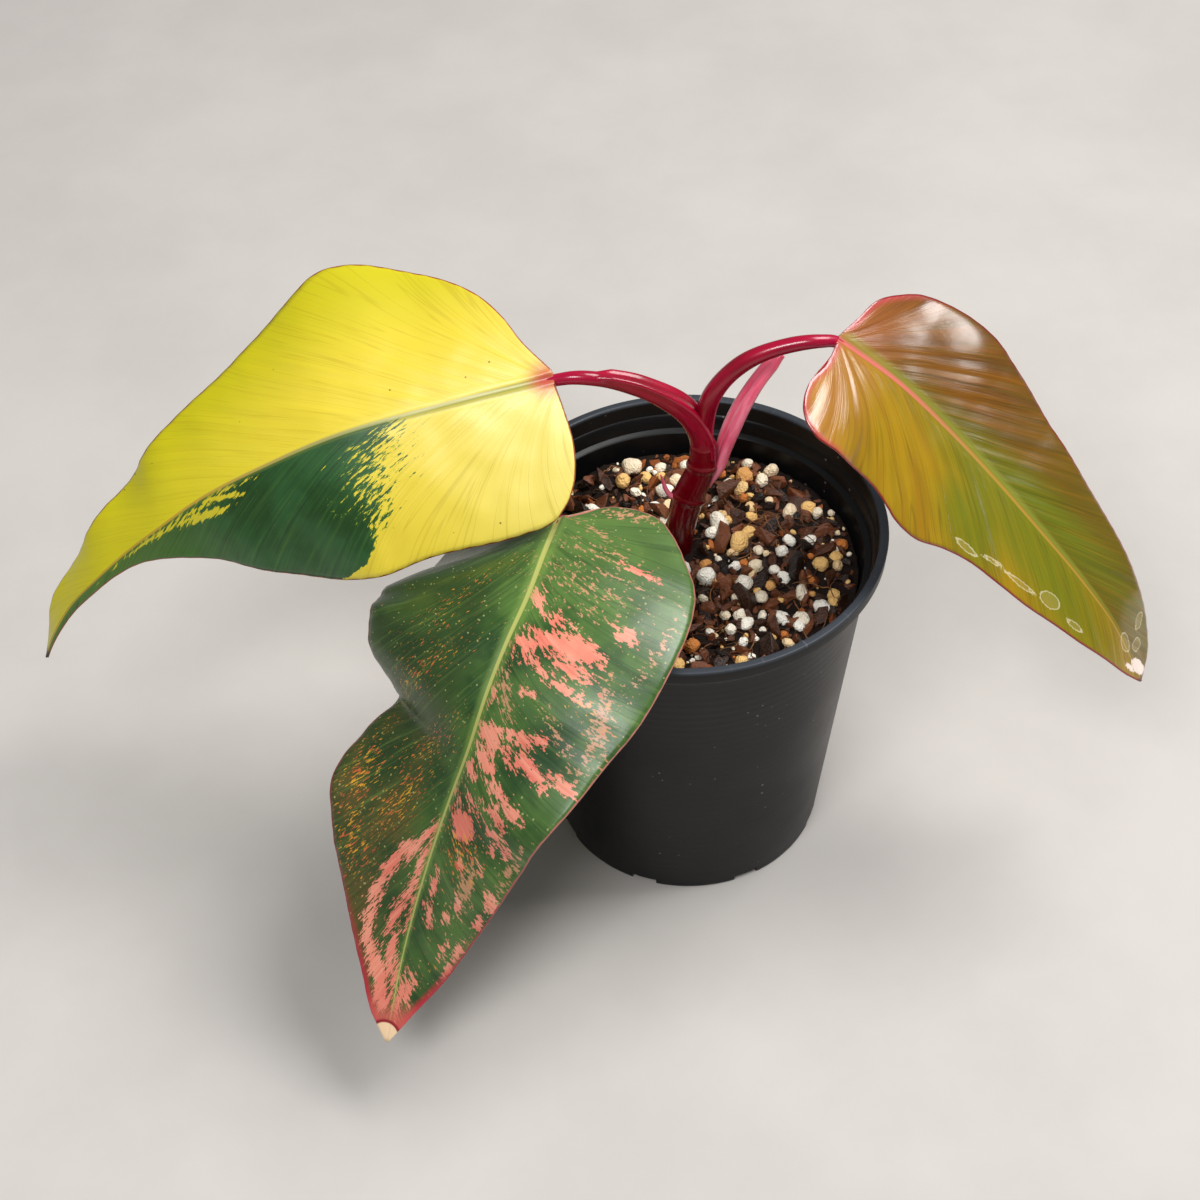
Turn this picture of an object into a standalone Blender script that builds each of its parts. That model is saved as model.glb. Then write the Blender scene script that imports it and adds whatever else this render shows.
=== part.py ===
"""A philodendron with three leaves, growing in a round nursery pot.

Lengths are in millimetres, and mm() turns them into metres where a point is made. The origin is the middle
of the pot's base, +Z is up, and -Y is the plant's front. The plant is one stem that stands in a hole in the
soil, a petiole for each leaf, a sheath leaf beside the stem, and three blades. Each blade is drawn flat, as
distances along and across its midrib, and then bent along the midrib's curve.
"""

import math
import random

import bmesh
import bpy
from mathutils import Matrix, Vector, noise
from mathutils.geometry import intersect_point_line

# Driving dimensions of the pot
POT_HEIGHT = 118.0
RIM_RADIUS = 60.0
RIM_BAND = 4.5
RIM_LIP = 2.9
LEDGE_DROP = 10.5
SHOULDER_DROP = 10.0
SHOULDER_RADIUS = 54.6
FOOT_BAND = 6.0
FOOT_SWELL = 0.3
BASE_RADIUS = 42.0
WALL = 1.6
FLOOR = 1.5
FLOOR_CORNER = 1.2
DRAIN_SLOTS = 8
DRAIN_WIDTH = 8.0
DRAIN_DEPTH = 6.0
DRAIN_HEIGHT = 2.4

# Driving dimensions of the soil
SOIL_LEVEL = 103.0
SOIL_RELIEF = 1.9
SOIL_SINK = 3.0
SOIL_EDGE_RADIUS = 52.0
LUMP_SIZE = 13.0
GRAIN_ZONE = 50.0
PUMICE_COUNT = 64
PUMICE_RADIUS = (1.7, 2.7)
PUMICE_REACH = 2.2
BARK_COUNT = 34
BARK_LENGTH = (6.0, 9.5)
BARK_REACH = 3.0
SEED = 23

# Driving dimensions of the plant
FIT_GAP = 0.3
BLADE_THICKNESS = 0.8
MIDRIB_RADIUS = 1.7
STEM_RADIUS = 4.8
PETIOLE_RADIUS = 2.4
HOLE_DEPTH = 25.0
RIB_FAN = 1.7
RIB_SWEEP = 0.22

# Steps of the meshes
POT_SEGMENTS = 32
SOIL_SEGMENTS = 32
SOIL_RINGS = 9
BLADE_ROWS = 28
BLADE_COLUMNS = 6

UP = Vector((0, 0, 1))
BACK = Vector((0, 1, 0))
FRONT = Vector((0, -1, 0))

STEM_FOOT = (-1.7, 7.1)
STEM_PATH = (
    (-2.3, 7.1, SOIL_LEVEL - HOLE_DEPTH),
    (-1.7, 7.1, 103.0),
    (1.4, 7.1, 122.6),
    (5.4, 7.1, 135.0),
    (5.9, 7.1, 146.0),
)
RING_SCARS = (122.6, 135.0)

# Outline rows are (distance along the midrib, distance from it). Fold rows are (distance along the midrib,
# rise in degrees at the midrib, rise in degrees 40 mm out). Right and left are as seen from the petiole.
YELLOW_LEAF = {
    "midrib": (
        (-38, 7, 170), (-68, 6, 163), (-100, 5, 154), (-119, 5, 145), (-143, 5, 131), (-154, 4, 123),
        (-165, 4, 114), (-176, 3, 104), (-186, 3, 93), (-193, 2, 82), (-197, 2, 73),
    ),
    "right": (
        (-2, 2.2), (5, 13), (8, 19.5), (13, 27), (23, 36), (35, 43), (50, 48.5), (58, 49), (67, 45),
        (80, 38.5), (95, 32), (111, 27), (125, 23), (140, 18.5), (155, 14.5), (168, 11.5), (180, 8),
        (193, 0.5),
    ),
    "left": (
        (-2, 2.2), (-3, 10), (-3, 23), (0, 32), (6, 38.5), (18, 40.5), (48, 41.2), (66, 41.6), (81, 39),
        (93, 33), (106, 26), (122, 15), (130, 9.5), (140, 5.2), (150, 3.2), (165, 2.3), (193, 0.5),
    ),
    "right_fold": (
        (0, 40, 28), (60, 38, 26), (100, 34, 22), (140, 28, 14), (191, 15, 0),
    ),
    "left_fold": (
        (0, -42, -52), (60, -44, -58), (100, -56, -70), (140, -70, -85), (190, -80, -95),
    ),
    "ripple": (0.6, 46.0, 0.5),
}
GREEN_LEAF = {
    "midrib": (
        (-37, -13, 134), (-41, -27, 135), (-46, -41, 132), (-52, -53, 127), (-58, -63, 118),
        (-64, -72, 105), (-72, -80, 87), (-80, -89, 67), (-87, -99, 47), (-93, -113, 27),
    ),
    "right": (
        (-2, 2.2), (-6, 7), (-11, 14), (-13, 23), (-10, 32), (-2, 41), (12, 49.5), (32, 53.5), (52, 51),
        (66, 45), (75, 40), (84, 38), (92, 39), (100, 40), (106, 38.5), (112, 35), (125, 27), (139, 18),
        (151, 11), (161, 6.5), (169, 0.5),
    ),
    "left": (
        (-2, 2.2), (-4, 6), (-8, 12), (-9, 20), (-7, 28), (-1, 34), (7, 39), (15, 44), (24, 46),
        (36, 46), (51, 44), (70, 37.8), (85, 32.8), (97, 29.6), (113, 25.6), (130, 20), (148, 13),
        (159, 6.5), (169, 0.5),
    ),
    "right_fold": (
        (0, -16, -44), (30, -4, -30), (58, 0, -24), (77, -8, -34), (93, 2, -14), (110, 10, 4),
        (135, 8, 0), (170, 0, -5),
    ),
    "left_fold": (
        (-10, 8, -14), (40, 8, -16), (90, 4, -12), (170, 0, -8),
    ),
    "ripple": (0.6, 42.0, 1.0),
}
OLIVE_LEAF = {
    "midrib": (
        (45, 7, 178), (60, 2, 167), (75, -6, 154), (88, -15, 142), (99, -23, 131), (110, -30, 119),
        (120, -36, 106), (130, -41, 86),
    ),
    "right": (
        (-2, 2.2), (-2, 10), (-4, 18), (-2, 26), (4, 31), (12, 31), (33, 29), (46, 31), (54, 29.8),
        (61, 25.8), (70, 22.2), (80, 20.2), (90, 18.2), (100, 15.2), (111, 12), (121, 8), (130, 4), (136, 0.5),
    ),
    "left": (
        (-2, 2.2), (0, 8.5), (3, 17.5), (9, 24.5), (14, 29), (22, 32), (33, 32.5), (46, 29.5), (58, 26),
        (71, 23.5), (86, 22), (99, 19.5), (111, 16.6), (125, 13.4), (131, 9.5), (136, 0.5),
    ),
    "right_fold": (
        (0, -12, -24), (50, -16, -26), (100, -20, -30), (137, -20, -30),
    ),
    "left_fold": (
        (0, 22, 12), (30, 20, 8), (60, 16, 6), (100, 14, 2), (137, 10, 0),
    ),
    "ripple": (0.6, 36.0, 0.0),
}

# Petiole paths start inside the stem, which cuts them to fit. Each goes on to the foot of its blade.
YELLOW_PETIOLE = (
    (5.2, 7.1, 139.0),
    (4.6, 7.1, 146.5),
    (1.8, 7.1, 153.5),
    (-9.1, 7.1, 163.4),
    (-22.2, 7.1, 168.8),
    (-31.0, 7.1, 170.0),
)
OLIVE_PETIOLE = (
    (5.8, 7.1, 140.0),
    (6.0, 7.1, 150.0),
    (8.4, 7.1, 161.3),
    (17.5, 7.1, 172.7),
    (30.0, 7.1, 178.0),
    (38.5, 7.1, 178.9),
)
GREEN_PETIOLE = (
    (-1.0, 7.1, 107.5),
    (-7.0, 2.0, 109.0),
    (-19.0, -2.5, 113.0),
    (-31.0, -4.0, 123.0),
)
SHEATH_LEAF = (
    (7.0, 7.4, 127.0),
    (9.6, 7.9, 132.5),
    (13.0, 9.5, 143.1),
    (17.3, 12.0, 152.6),
    (21.5, 14.5, 158.8),
    (26.0, 17.0, 163.6),
    (28.6, 18.4, 166.2),
)


def mm(point):
    return Vector(point) * 0.001


def curve_through(points):
    """A smooth curve through the points. It returns a function of the distance along them, and their length."""
    points = [Vector(p) for p in points]
    knots = [0.0]
    for before, after in zip(points, points[1:]):
        knots.append(knots[-1] + (after - before).length)
    chords = [(b - a) / (t - s) for a, b, s, t in zip(points, points[1:], knots, knots[1:])]
    slopes = [chords[0]]
    for i in range(1, len(points) - 1):
        share = (knots[i] - knots[i - 1]) / (knots[i + 1] - knots[i - 1])
        slopes.append(chords[i - 1].lerp(chords[i], share))
    slopes.append(chords[-1])

    def at(distance):
        distance = min(max(distance, 0.0), knots[-1])
        i = 0
        while i < len(knots) - 2 and knots[i + 1] <= distance:
            i += 1
        span = knots[i + 1] - knots[i]
        t = (distance - knots[i]) / span
        rise = t * t * (3 - 2 * t)
        leave = t * (1 - t) ** 2 * span
        arrive = t * t * (t - 1) * span
        return points[i].lerp(points[i + 1], rise) + slopes[i] * leave + slopes[i + 1] * arrive

    return at, knots[-1]


def between(rows, where):
    """The values of a table at one place, eased from row to row. The first value of a row is its place."""
    where = min(max(where, rows[0][0]), rows[-1][0])
    for low, high in zip(rows, rows[1:]):
        if where <= high[0]:
            t = (where - low[0]) / (high[0] - low[0])
            t = t * t * (3 - 2 * t)
            return [a + (b - a) * t for a, b in zip(low[1:], high[1:])]
    return list(rows[-1][1:])


def material(name, colour, roughness, metallic=0.0):
    made = bpy.data.materials.new(name)
    made.use_nodes = True
    shader = made.node_tree.nodes["Principled BSDF"]
    shader.inputs["Base Color"].default_value = (*colour, 1)
    shader.inputs["Roughness"].default_value = roughness
    shader.inputs["Metallic"].default_value = metallic
    return made


def add_object(name, bm, finish):
    bmesh.ops.recalc_face_normals(bm, faces=bm.faces)
    mesh = bpy.data.meshes.new(name)
    bm.to_mesh(mesh)
    bm.free()
    made = bpy.data.objects.new(name, mesh)
    bpy.context.scene.collection.objects.link(made)
    if finish is not None:
        mesh.materials.append(finish)
    mesh.shade_smooth()
    mesh.set_sharp_from_angle(angle=math.radians(40))
    return made


def hide(helper):
    helper.hide_render = True
    helper.display_type = "WIRE"


def cut(target, cutter):
    """Cuts one object by another that stays hidden in the file."""
    hide(cutter)
    boolean = target.modifiers.new("cut by " + cutter.name, "BOOLEAN")
    boolean.operation = "DIFFERENCE"
    boolean.object = cutter


def apply_modifiers(target):
    evaluated = target.evaluated_get(bpy.context.evaluated_depsgraph_get())
    mesh = bpy.data.meshes.new_from_object(evaluated)
    target.modifiers.clear()
    target.data = mesh


def ring(bm, centre, right, top, radii):
    """A closed loop of vertices round a point, one for each radius."""
    loop = []
    for i, radius in enumerate(radii):
        angle = 2 * math.pi * i / len(radii)
        loop.append(bm.verts.new(mm(centre + (right * math.cos(angle) + top * math.sin(angle)) * radius)))
    return loop


def join_rings(bm, lower, upper):
    for i in range(len(lower)):
        j = (i + 1) % len(lower)
        bm.faces.new((lower[i], lower[j], upper[j], upper[i]))


def lathe(name, profile, segments, finish):
    """Turns a profile of (radius, height) round the Z axis. Its first and last points lie on the axis."""
    bm = bmesh.new()
    first = bm.verts.new(mm((0, 0, profile[0][1])))
    last = bm.verts.new(mm((0, 0, profile[-1][1])))
    rings = []
    for radius, height in profile[1:-1]:
        rings.append(ring(bm, Vector((0, 0, height)), Vector((1, 0, 0)), BACK, [radius] * segments))
    for lower, upper in zip(rings, rings[1:]):
        join_rings(bm, lower, upper)
    for i in range(segments):
        j = (i + 1) % segments
        bm.faces.new((first, rings[0][i], rings[0][j]))
        bm.faces.new((last, rings[-1][j], rings[-1][i]))
    return add_object(name, bm, finish)


def tube(name, path, radii, side, finish, sides=12, steps=18, shape=None, grow=0.0, face=None):
    """A stalk along a path. radii is a table of (share of the length, radius), and shape gives the rise of
    its skin at a share of the length and an angle, where a quarter turn is its upper side. face is the
    direction that its end is mitred to."""
    at, length = curve_through(path)
    bm = bmesh.new()
    rings = []
    for i in range(steps + 1):
        share = i / steps
        along = (at((share + 0.01) * length) - at((share - 0.01) * length)).normalized()
        centre = at(share * length) + along * grow * ((i == steps) - (i == 0))
        if face is not None:
            along = along.lerp(face, between(((0.8, 0.0), (1.0, 1.0)), share)[0]).normalized()
        top = side.cross(along).normalized()
        radius = between(radii, share)[0] + grow
        skin = []
        for j in range(sides):
            rise = shape(share, 2 * math.pi * j / sides) if shape else 0.0
            skin.append(radius + rise)
        rings.append(ring(bm, centre, along.cross(top), top, skin))
    for lower, upper in zip(rings, rings[1:]):
        join_rings(bm, lower, upper)
    bm.faces.new(rings[0])
    bm.faces.new(rings[-1])
    return add_object(name, bm, finish)


def wall_radius(height):
    """The outer radius of the pot's wall below its shoulder."""
    return BASE_RADIUS + (SHOULDER_RADIUS - BASE_RADIUS) * height / (POT_HEIGHT - SHOULDER_DROP)


def make_pot(finish):
    top = POT_HEIGHT
    inner_lip = RIM_RADIUS - RIM_LIP
    ledge = top - LEDGE_DROP
    corner = FLOOR + FLOOR_CORNER
    profile = (
        (0, FLOOR),
        (BASE_RADIUS - WALL - FLOOR_CORNER, FLOOR),
        (wall_radius(corner) - WALL, corner),
        (wall_radius(ledge) - WALL, ledge),
        (RIM_RADIUS - 4.8, ledge + 1.5),
        (inner_lip, top - 0.8),
        (inner_lip + 1.0, top),
        (RIM_RADIUS - 0.4, top),
        (RIM_RADIUS - 0.8, top - RIM_BAND),
        (RIM_RADIUS - 3.8, top - RIM_BAND - 0.6),
        (SHOULDER_RADIUS, top - SHOULDER_DROP),
        (wall_radius(FOOT_BAND) + FOOT_SWELL, FOOT_BAND),
        (BASE_RADIUS, 0),
        (0, 0),
    )
    pot = lathe("pot", profile, POT_SEGMENTS, finish)
    slots = bmesh.new()
    for i in range(DRAIN_SLOTS):
        turn = Matrix.Rotation(2 * math.pi * (i + 0.5) / DRAIN_SLOTS, 4, "Z")
        place = Matrix.Translation(mm((BASE_RADIUS - DRAIN_DEPTH / 2 + 1.0, 0, DRAIN_HEIGHT / 2 - 1.0)))
        size = Matrix.Diagonal((*mm((DRAIN_DEPTH + 2.0, DRAIN_WIDTH, DRAIN_HEIGHT + 2.0)), 1))
        bmesh.ops.create_cube(slots, size=1.0, matrix=turn @ place @ size)
    cut(pot, add_object("drain_slots", slots, None))
    return pot


def soil_height(x, y):
    """The height of the soil before its grains: low lumps that sink a little toward the pot's wall."""
    broad = noise.noise(Vector((x, y, 3.0)) / LUMP_SIZE)
    fine = noise.noise(Vector((x, y, 40.0)) / (LUMP_SIZE * 0.38))
    edge = max(0.0, math.hypot(x, y) / SOIL_EDGE_RADIUS - 0.8) * 6.0
    return SOIL_LEVEL + SOIL_RELIEF * (broad + 0.5 * fine) - edge


def soil_bed(finish):
    """The body of the soil, which fills the pot to a fit gap from its wall and floor."""
    bottom = FLOOR + FIT_GAP
    bm = bmesh.new()
    rings = []
    for i in range(1, SOIL_RINGS + 1):
        loop = []
        radius = (wall_radius(SOIL_LEVEL - SOIL_SINK) - WALL - 2 * FIT_GAP) * (i / SOIL_RINGS) ** 0.9
        for j in range(SOIL_SEGMENTS):
            angle = 2 * math.pi * (j + 0.5 * (i % 2)) / SOIL_SEGMENTS
            x = radius * math.cos(angle)
            y = radius * math.sin(angle)
            loop.append(bm.verts.new(mm((x, y, soil_height(x, y)))))
        rings.append(loop)
    phase = math.pi / SOIL_SEGMENTS * (SOIL_RINGS % 2)
    foot_radius = wall_radius(bottom) - WALL - FLOOR_CORNER - 2 * FIT_GAP
    foot = []
    for j in range(SOIL_SEGMENTS):
        angle = 2 * math.pi * j / SOIL_SEGMENTS + phase
        foot.append(bm.verts.new(mm((foot_radius * math.cos(angle), foot_radius * math.sin(angle), bottom))))
    rings.append(foot)
    for inner, outer in zip(rings, rings[1:]):
        join_rings(bm, inner, outer)
    middle = bm.verts.new(mm((0, 0, soil_height(0, 0))))
    under = bm.verts.new(mm((0, 0, bottom)))
    for j in range(SOIL_SEGMENTS):
        k = (j + 1) % SOIL_SEGMENTS
        bm.faces.new((middle, rings[0][j], rings[0][k]))
        bm.faces.new((under, foot[k], foot[j]))
    bmesh.ops.triangulate(bm, faces=bm.faces)
    return add_object("soil", bm, finish)


def gap_to_stalks(x, y):
    """How far a place on the soil lies from the stem, and from the low petiole that runs out over it."""
    place = Vector((x, y))
    start, end = Vector(GREEN_PETIOLE[0][:2]), Vector(GREEN_PETIOLE[2][:2])
    share = intersect_point_line(place, start, end)[1]
    nearest = start.lerp(end, min(max(share, 0.0), 1.0))
    return min((place - Vector(STEM_FOOT)).length - STEM_RADIUS, (place - nearest).length - PETIOLE_RADIUS)


def scatter(draw, count, reach, taken):
    """Seeded places on the soil that keep clear of each other and of the stalks. taken grows by each place."""
    found = []
    tries = 0
    while len(found) < count and tries < 6000:
        tries += 1
        radius = (GRAIN_ZONE - reach) * math.sqrt(draw.random())
        angle = draw.uniform(0, 2 * math.pi)
        x = radius * math.cos(angle)
        y = radius * math.sin(angle)
        if gap_to_stalks(x, y) < reach + 1.0:
            continue
        if all(math.hypot(x - a, y - b) > 0.8 * (reach + c) for a, b, c in taken):
            taken.append((x, y, reach))
            found.append((x, y))
    return found


def grain(name, centre, size, turn):
    """One low-sided grain: a stretched ball of twenty faces."""
    bm = bmesh.new()
    place = Matrix.Translation(mm(centre)) @ turn @ Matrix.Diagonal((*mm(size), 1))
    bmesh.ops.create_icosphere(bm, subdivisions=1, radius=1.0, matrix=place)
    return add_object(name, bm, None)


def surface(soil, x, y):
    """The height where a plumb line over a place meets the bed of soil."""
    return soil.ray_cast(mm((x, y, POT_HEIGHT)), -UP)[1].z * 1000


def random_turn(draw, tilt):
    spin = Matrix.Rotation(draw.uniform(0, 2 * math.pi), 4, "Z")
    lean = Matrix.Rotation(draw.uniform(-tilt, tilt), 4, "Y")
    return spin @ lean


def make_soil(finish):
    draw = random.Random(SEED)
    soil = soil_bed(finish)
    kit = bpy.data.collections.new("grains")
    bpy.context.scene.collection.children.link(kit)
    taken = []
    grains = []
    for x, y in scatter(draw, PUMICE_COUNT, PUMICE_REACH, taken):
        size = draw.uniform(*PUMICE_RADIUS)
        shape = (size * 1.15, size, size * 0.9)
        height = surface(soil, x, y) + 0.4 * size
        grains.append(grain("pumice", (x, y, height), shape, random_turn(draw, 0.5)))
    for x, y in scatter(draw, BARK_COUNT, BARK_REACH, taken):
        half = draw.uniform(*BARK_LENGTH) / 2
        shape = (half, half * draw.uniform(0.45, 0.6), half * draw.uniform(0.35, 0.45))
        height = surface(soil, x, y) + 0.4 * shape[2]
        grains.append(grain("bark", (x, y, height), shape, random_turn(draw, 0.25)))
    for each in grains:
        bpy.context.scene.collection.objects.unlink(each)
        kit.objects.link(each)
    union = soil.modifiers.new("grains", "BOOLEAN")
    union.operation = "UNION"
    union.operand_type = "COLLECTION"
    union.collection = kit
    apply_modifiers(soil)
    soil.data.set_sharp_from_angle(angle=math.radians(34))
    for each in grains:
        bpy.data.objects.remove(each, do_unlink=True)
    bpy.data.collections.remove(kit)
    hole = bmesh.new()
    floor = SOIL_LEVEL - HOLE_DEPTH - FIT_GAP
    height = HOLE_DEPTH + 12.0
    place = Matrix.Translation(mm((*STEM_FOOT, floor + height / 2)))
    radius = (STEM_RADIUS + FIT_GAP) * 0.001
    bmesh.ops.create_cone(
        hole,
        cap_ends=True,
        segments=20,
        radius1=radius,
        radius2=radius,
        depth=height * 0.001,
        matrix=place,
    )
    cut(soil, add_object("stem_hole", hole, None))
    return soil


def stem_solid(name, finish, grow=0.0):
    """The stem, with a raised ring where each old leaf fell."""
    bottom = STEM_PATH[0][2]
    span = STEM_PATH[-1][2] - bottom
    radii = ((0, 4.0), (0.36, 4.2), (0.66, 4.7), (0.84, 4.1), (0.95, 3.9), (1, 3.2))

    def scars(share, angle):
        rise = 0.0
        for height in RING_SCARS:
            lean = 1.2 * math.cos(angle)
            off = (bottom + share * span - height - lean) / 1.5
            rise += 0.5 * math.exp(-off * off)
        return rise

    return tube(name, STEM_PATH, radii, FRONT, finish, sides=14, steps=36, shape=scars, grow=grow)


def sheath_wings(share, angle):
    """The open sheath on the yellow leaf's petiole: two lips along its upper side with a groove between."""
    length = max(0.0, min(1.0, (0.70 - share) / 0.06))
    height = length * (1.1 + 1.3 * max(0.0, 0.6 - share))
    rise = 0.0
    for lip in (0.28 * math.pi, 0.72 * math.pi):
        off = (angle - lip) / 0.34
        rise += height * math.exp(-off * off)
    return rise


def to_foot(path, leaf, gap=FIT_GAP):
    """A petiole's path carried on to a gap from the foot of its blade, and the way that the foot faces."""
    _, forward, _, up = Blade(leaf).frame(0.0)
    foot = Vector(leaf["midrib"][0]) + forward * (leaf["right"][0][0] - gap) - up * MIDRIB_RADIUS * 0.8
    return (*path, foot), forward


def olive_petiole_solid(name, finish, grow=0.0):
    radii = ((0, 3.0), (0.25, 2.9), (0.5, 2.6), (0.75, 2.2), (1, 1.7))
    path, face = to_foot(OLIVE_PETIOLE, OLIVE_LEAF)
    return tube(name, path, radii, FRONT, finish, sides=14, steps=20, grow=grow, face=face)


def make_petioles(crimson, bright):
    radii = ((0, 3.0), (0.3, 3.1), (0.55, 2.6), (0.75, 2.1), (1, 1.7))
    path, face = to_foot(YELLOW_PETIOLE, YELLOW_LEAF)
    yellow = tube(
        "petiole_yellow", path, radii, BACK, crimson, sides=18, steps=20, shape=sheath_wings, face=face
    )
    olive = olive_petiole_solid("petiole_olive", crimson)
    radii = ((0, PETIOLE_RADIUS), (0.5, 2.2), (1, 1.5))
    path, face = to_foot(GREEN_PETIOLE, GREEN_LEAF, gap=0.75)
    side = Vector((0.45, -0.9, 0))
    green = tube("petiole_green", path, radii, side, crimson, sides=14, steps=16, face=face)
    radii = ((0, 1.6), (0.2, 2.9), (0.45, 3.4), (0.9, 2.7), (1, 2.0))

    def trough(share, angle):
        """A flattened stalk with a groove along its upper face."""
        flat = -0.45 * (between(radii, share)[0]) * math.sin(angle) ** 2
        off = (angle - math.pi / 2) / 0.4
        return flat - 0.5 * math.exp(-off * off)

    sheath = tube(
        "sheath_leaf", SHEATH_LEAF, radii, Vector((0.35, -0.94, 0)), bright, sides=16, steps=16, shape=trough
    )
    stem_room = stem_solid("stem_room", None, grow=FIT_GAP)
    olive_room = olive_petiole_solid("petiole_olive_room", None, grow=FIT_GAP)
    for piece in (yellow, olive, green, sheath):
        cut(piece, stem_room)
    for piece in (yellow, sheath):
        cut(piece, olive_room)


def make_stem(finish):
    """The stem and the thin pink shoot that starts at its lower ring."""
    stem = stem_solid("stem", finish)
    path = ((0.0, 6.4, 122.0), (-3.8, 6.2, 124.5), (-6.6, 6.4, 132.5))
    shoot = tube("shoot", path, ((0, 0.9), (0.6, 0.7), (1, 0.4)), BACK, None, sides=8, steps=6)
    hide(shoot)
    union = stem.modifiers.new("shoot", "BOOLEAN")
    union.operation = "UNION"
    union.object = shoot
    return stem


class Blade:
    """A leaf blade's bend: it turns a place on the flat leaf into a point of the plant."""

    def __init__(self, leaf):
        self.leaf = leaf
        self.midrib, self.length = curve_through(leaf["midrib"])
        self.margins = {side: curve_through(leaf[side]) for side in ("right", "left")}

    def frame(self, along):
        """The midrib's point, its direction, the level direction to the right, and the leaf's own up."""
        inside = min(max(along, 0.0), self.length)
        forward = (self.midrib(inside + 0.5) - self.midrib(inside - 0.5)).normalized()
        right = forward.cross(UP).normalized()
        return self.midrib(inside) + forward * (along - inside), forward, right, right.cross(forward)

    def point(self, side, along, out):
        """Each half of a cross-section is a round arc, with a low ripple that grows toward the margin."""
        centre, _, right, up = self.frame(along)
        start, end = (math.radians(a) for a in between(self.leaf[side + "_fold"], along))
        curl = (end - start) / 40.0
        level = (math.sin(start + curl * out) - math.sin(start)) / curl
        rise = (math.cos(start) - math.cos(start + curl * out)) / curl
        height, length, phase = self.leaf["ripple"]
        if side == "left":
            phase += 2.1
        rise += height * (out / 40.0) ** 2 * math.sin(2 * math.pi * along / length + phase)
        return centre + right * (level if side == "right" else -level) + up * rise

    def normal(self, side, along, out):
        """The direction that the upper skin faces."""
        step = 0.5
        outward = self.point(side, along, out + step) - self.point(side, along, out)
        onward = self.point(side, along + step, out) - self.point(side, along - step, out)
        upper = outward.cross(onward).normalized()
        return upper if side == "right" else -upper

    def flat(self, side, row_share, rib_share):
        """A place on the flat leaf: ribs leave the midrib close together at the base and sweep to the tip."""
        margin, margin_length = self.margins[side]
        end = margin(row_share * margin_length)
        foot = margin(0.0).x
        start = foot + (self.length - foot) * row_share**RIB_FAN
        sweep = RIB_SWEEP * rib_share * (1 - rib_share) * end.y * (1 - row_share) * row_share * 4
        along = start + (end.x - start) * rib_share - sweep
        return along, end.y * rib_share

    def rib_radius(self, row_share):
        return MIDRIB_RADIUS * (1 - row_share) ** 0.8 + 0.2

    def columns(self, side, row_share):
        """Shares of the half width where a row has its points: two on the midrib's flank, then evenly out."""
        margin, margin_length = self.margins[side]
        flank = min(0.45, self.rib_radius(row_share) / margin(row_share * margin_length).y)
        shares = [flank * 0.55, flank]
        for i in range(1, BLADE_COLUMNS - 1):
            shares.append(flank + (1 - flank) * i / (BLADE_COLUMNS - 2))
        return shares


def make_blade(name, leaf, finish):
    """The blade as two skins a thickness apart, split into triangles alike, with the midrib raised below."""
    blade = Blade(leaf)
    half = BLADE_THICKNESS / 2
    bm = bmesh.new()
    skins = ([], [])
    for i in range(BLADE_ROWS + 1):
        share = i / BLADE_ROWS
        radius = blade.rib_radius(share)
        start = blade.flat("right", share, 0.0)[0]
        places = [("right", start, 0.0, radius * 1.3)]
        for side in ("right", "left"):
            for column, rib_share in enumerate(blade.columns(side, share)):
                drop = radius * 0.9 if column == 0 else 0.0
                place = (side, *blade.flat(side, share, rib_share), drop)
                places.insert(len(places) if side == "right" else 0, place)
        width = len(places)
        for side, along, out, drop in places:
            middle = blade.point(side, along, out)
            normal = blade.normal(side, along, out) if out > 0 else blade.frame(along)[3]
            skins[0].append(bm.verts.new(mm(middle + normal * half)))
            skins[1].append(bm.verts.new(mm(middle - normal * (half + drop))))
    for i in range(BLADE_ROWS):
        for j in range(width - 1):
            a, b = i * width + j, i * width + j + 1
            d, c = a + width, b + width
            halves = ((a, b, c), (a, c, d)) if j < width // 2 else ((a, b, d), (b, c, d))
            for skin in skins:
                for corners in halves:
                    bm.faces.new([skin[k] for k in corners])
    last = BLADE_ROWS * width
    edge = list(range(width)) + [i * width + width - 1 for i in range(1, BLADE_ROWS + 1)]
    edge += [last + j for j in range(width - 2, -1, -1)] + [i * width for i in range(BLADE_ROWS - 1, 0, -1)]
    for here, there in zip(edge, edge[1:] + edge[:1]):
        bm.faces.new((skins[0][here], skins[0][there], skins[1][there], skins[1][here]))
    return add_object(name, bm, finish)


def main():
    for old in list(bpy.data.objects):
        bpy.data.objects.remove(old, do_unlink=True)
    black = material("black nursery plastic", (0.012, 0.013, 0.015), 0.38)
    mix = material("bark and pumice mix", (0.045, 0.026, 0.016), 0.9)
    crimson = material("crimson stalk", (0.30, 0.006, 0.022), 0.32)
    bright = material("rose sheath leaf", (0.60, 0.09, 0.16), 0.35)
    make_pot(black)
    make_soil(mix)
    make_stem(crimson)
    make_petioles(crimson, bright)
    make_blade("leaf_yellow", YELLOW_LEAF, material("lemon leaf", (0.72, 0.62, 0.06), 0.38))
    make_blade("leaf_green", GREEN_LEAF, material("green and pink leaf", (0.08, 0.16, 0.05), 0.4))
    make_blade("leaf_olive", OLIVE_LEAF, material("bronze olive leaf", (0.36, 0.26, 0.04), 0.22))


main()
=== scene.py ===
"""The looks of a philodendron in a nursery pot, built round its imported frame.

Lengths are in millimetres, and mesh_of() turns them into metres. The origin is the middle of the pot's
base, +Z is up and -Y is the plant's front. A place on a flat blade is its distance along the midrib and its
distance out from it, positive on the right as seen from the petiole and negative on the left.
"""

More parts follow.
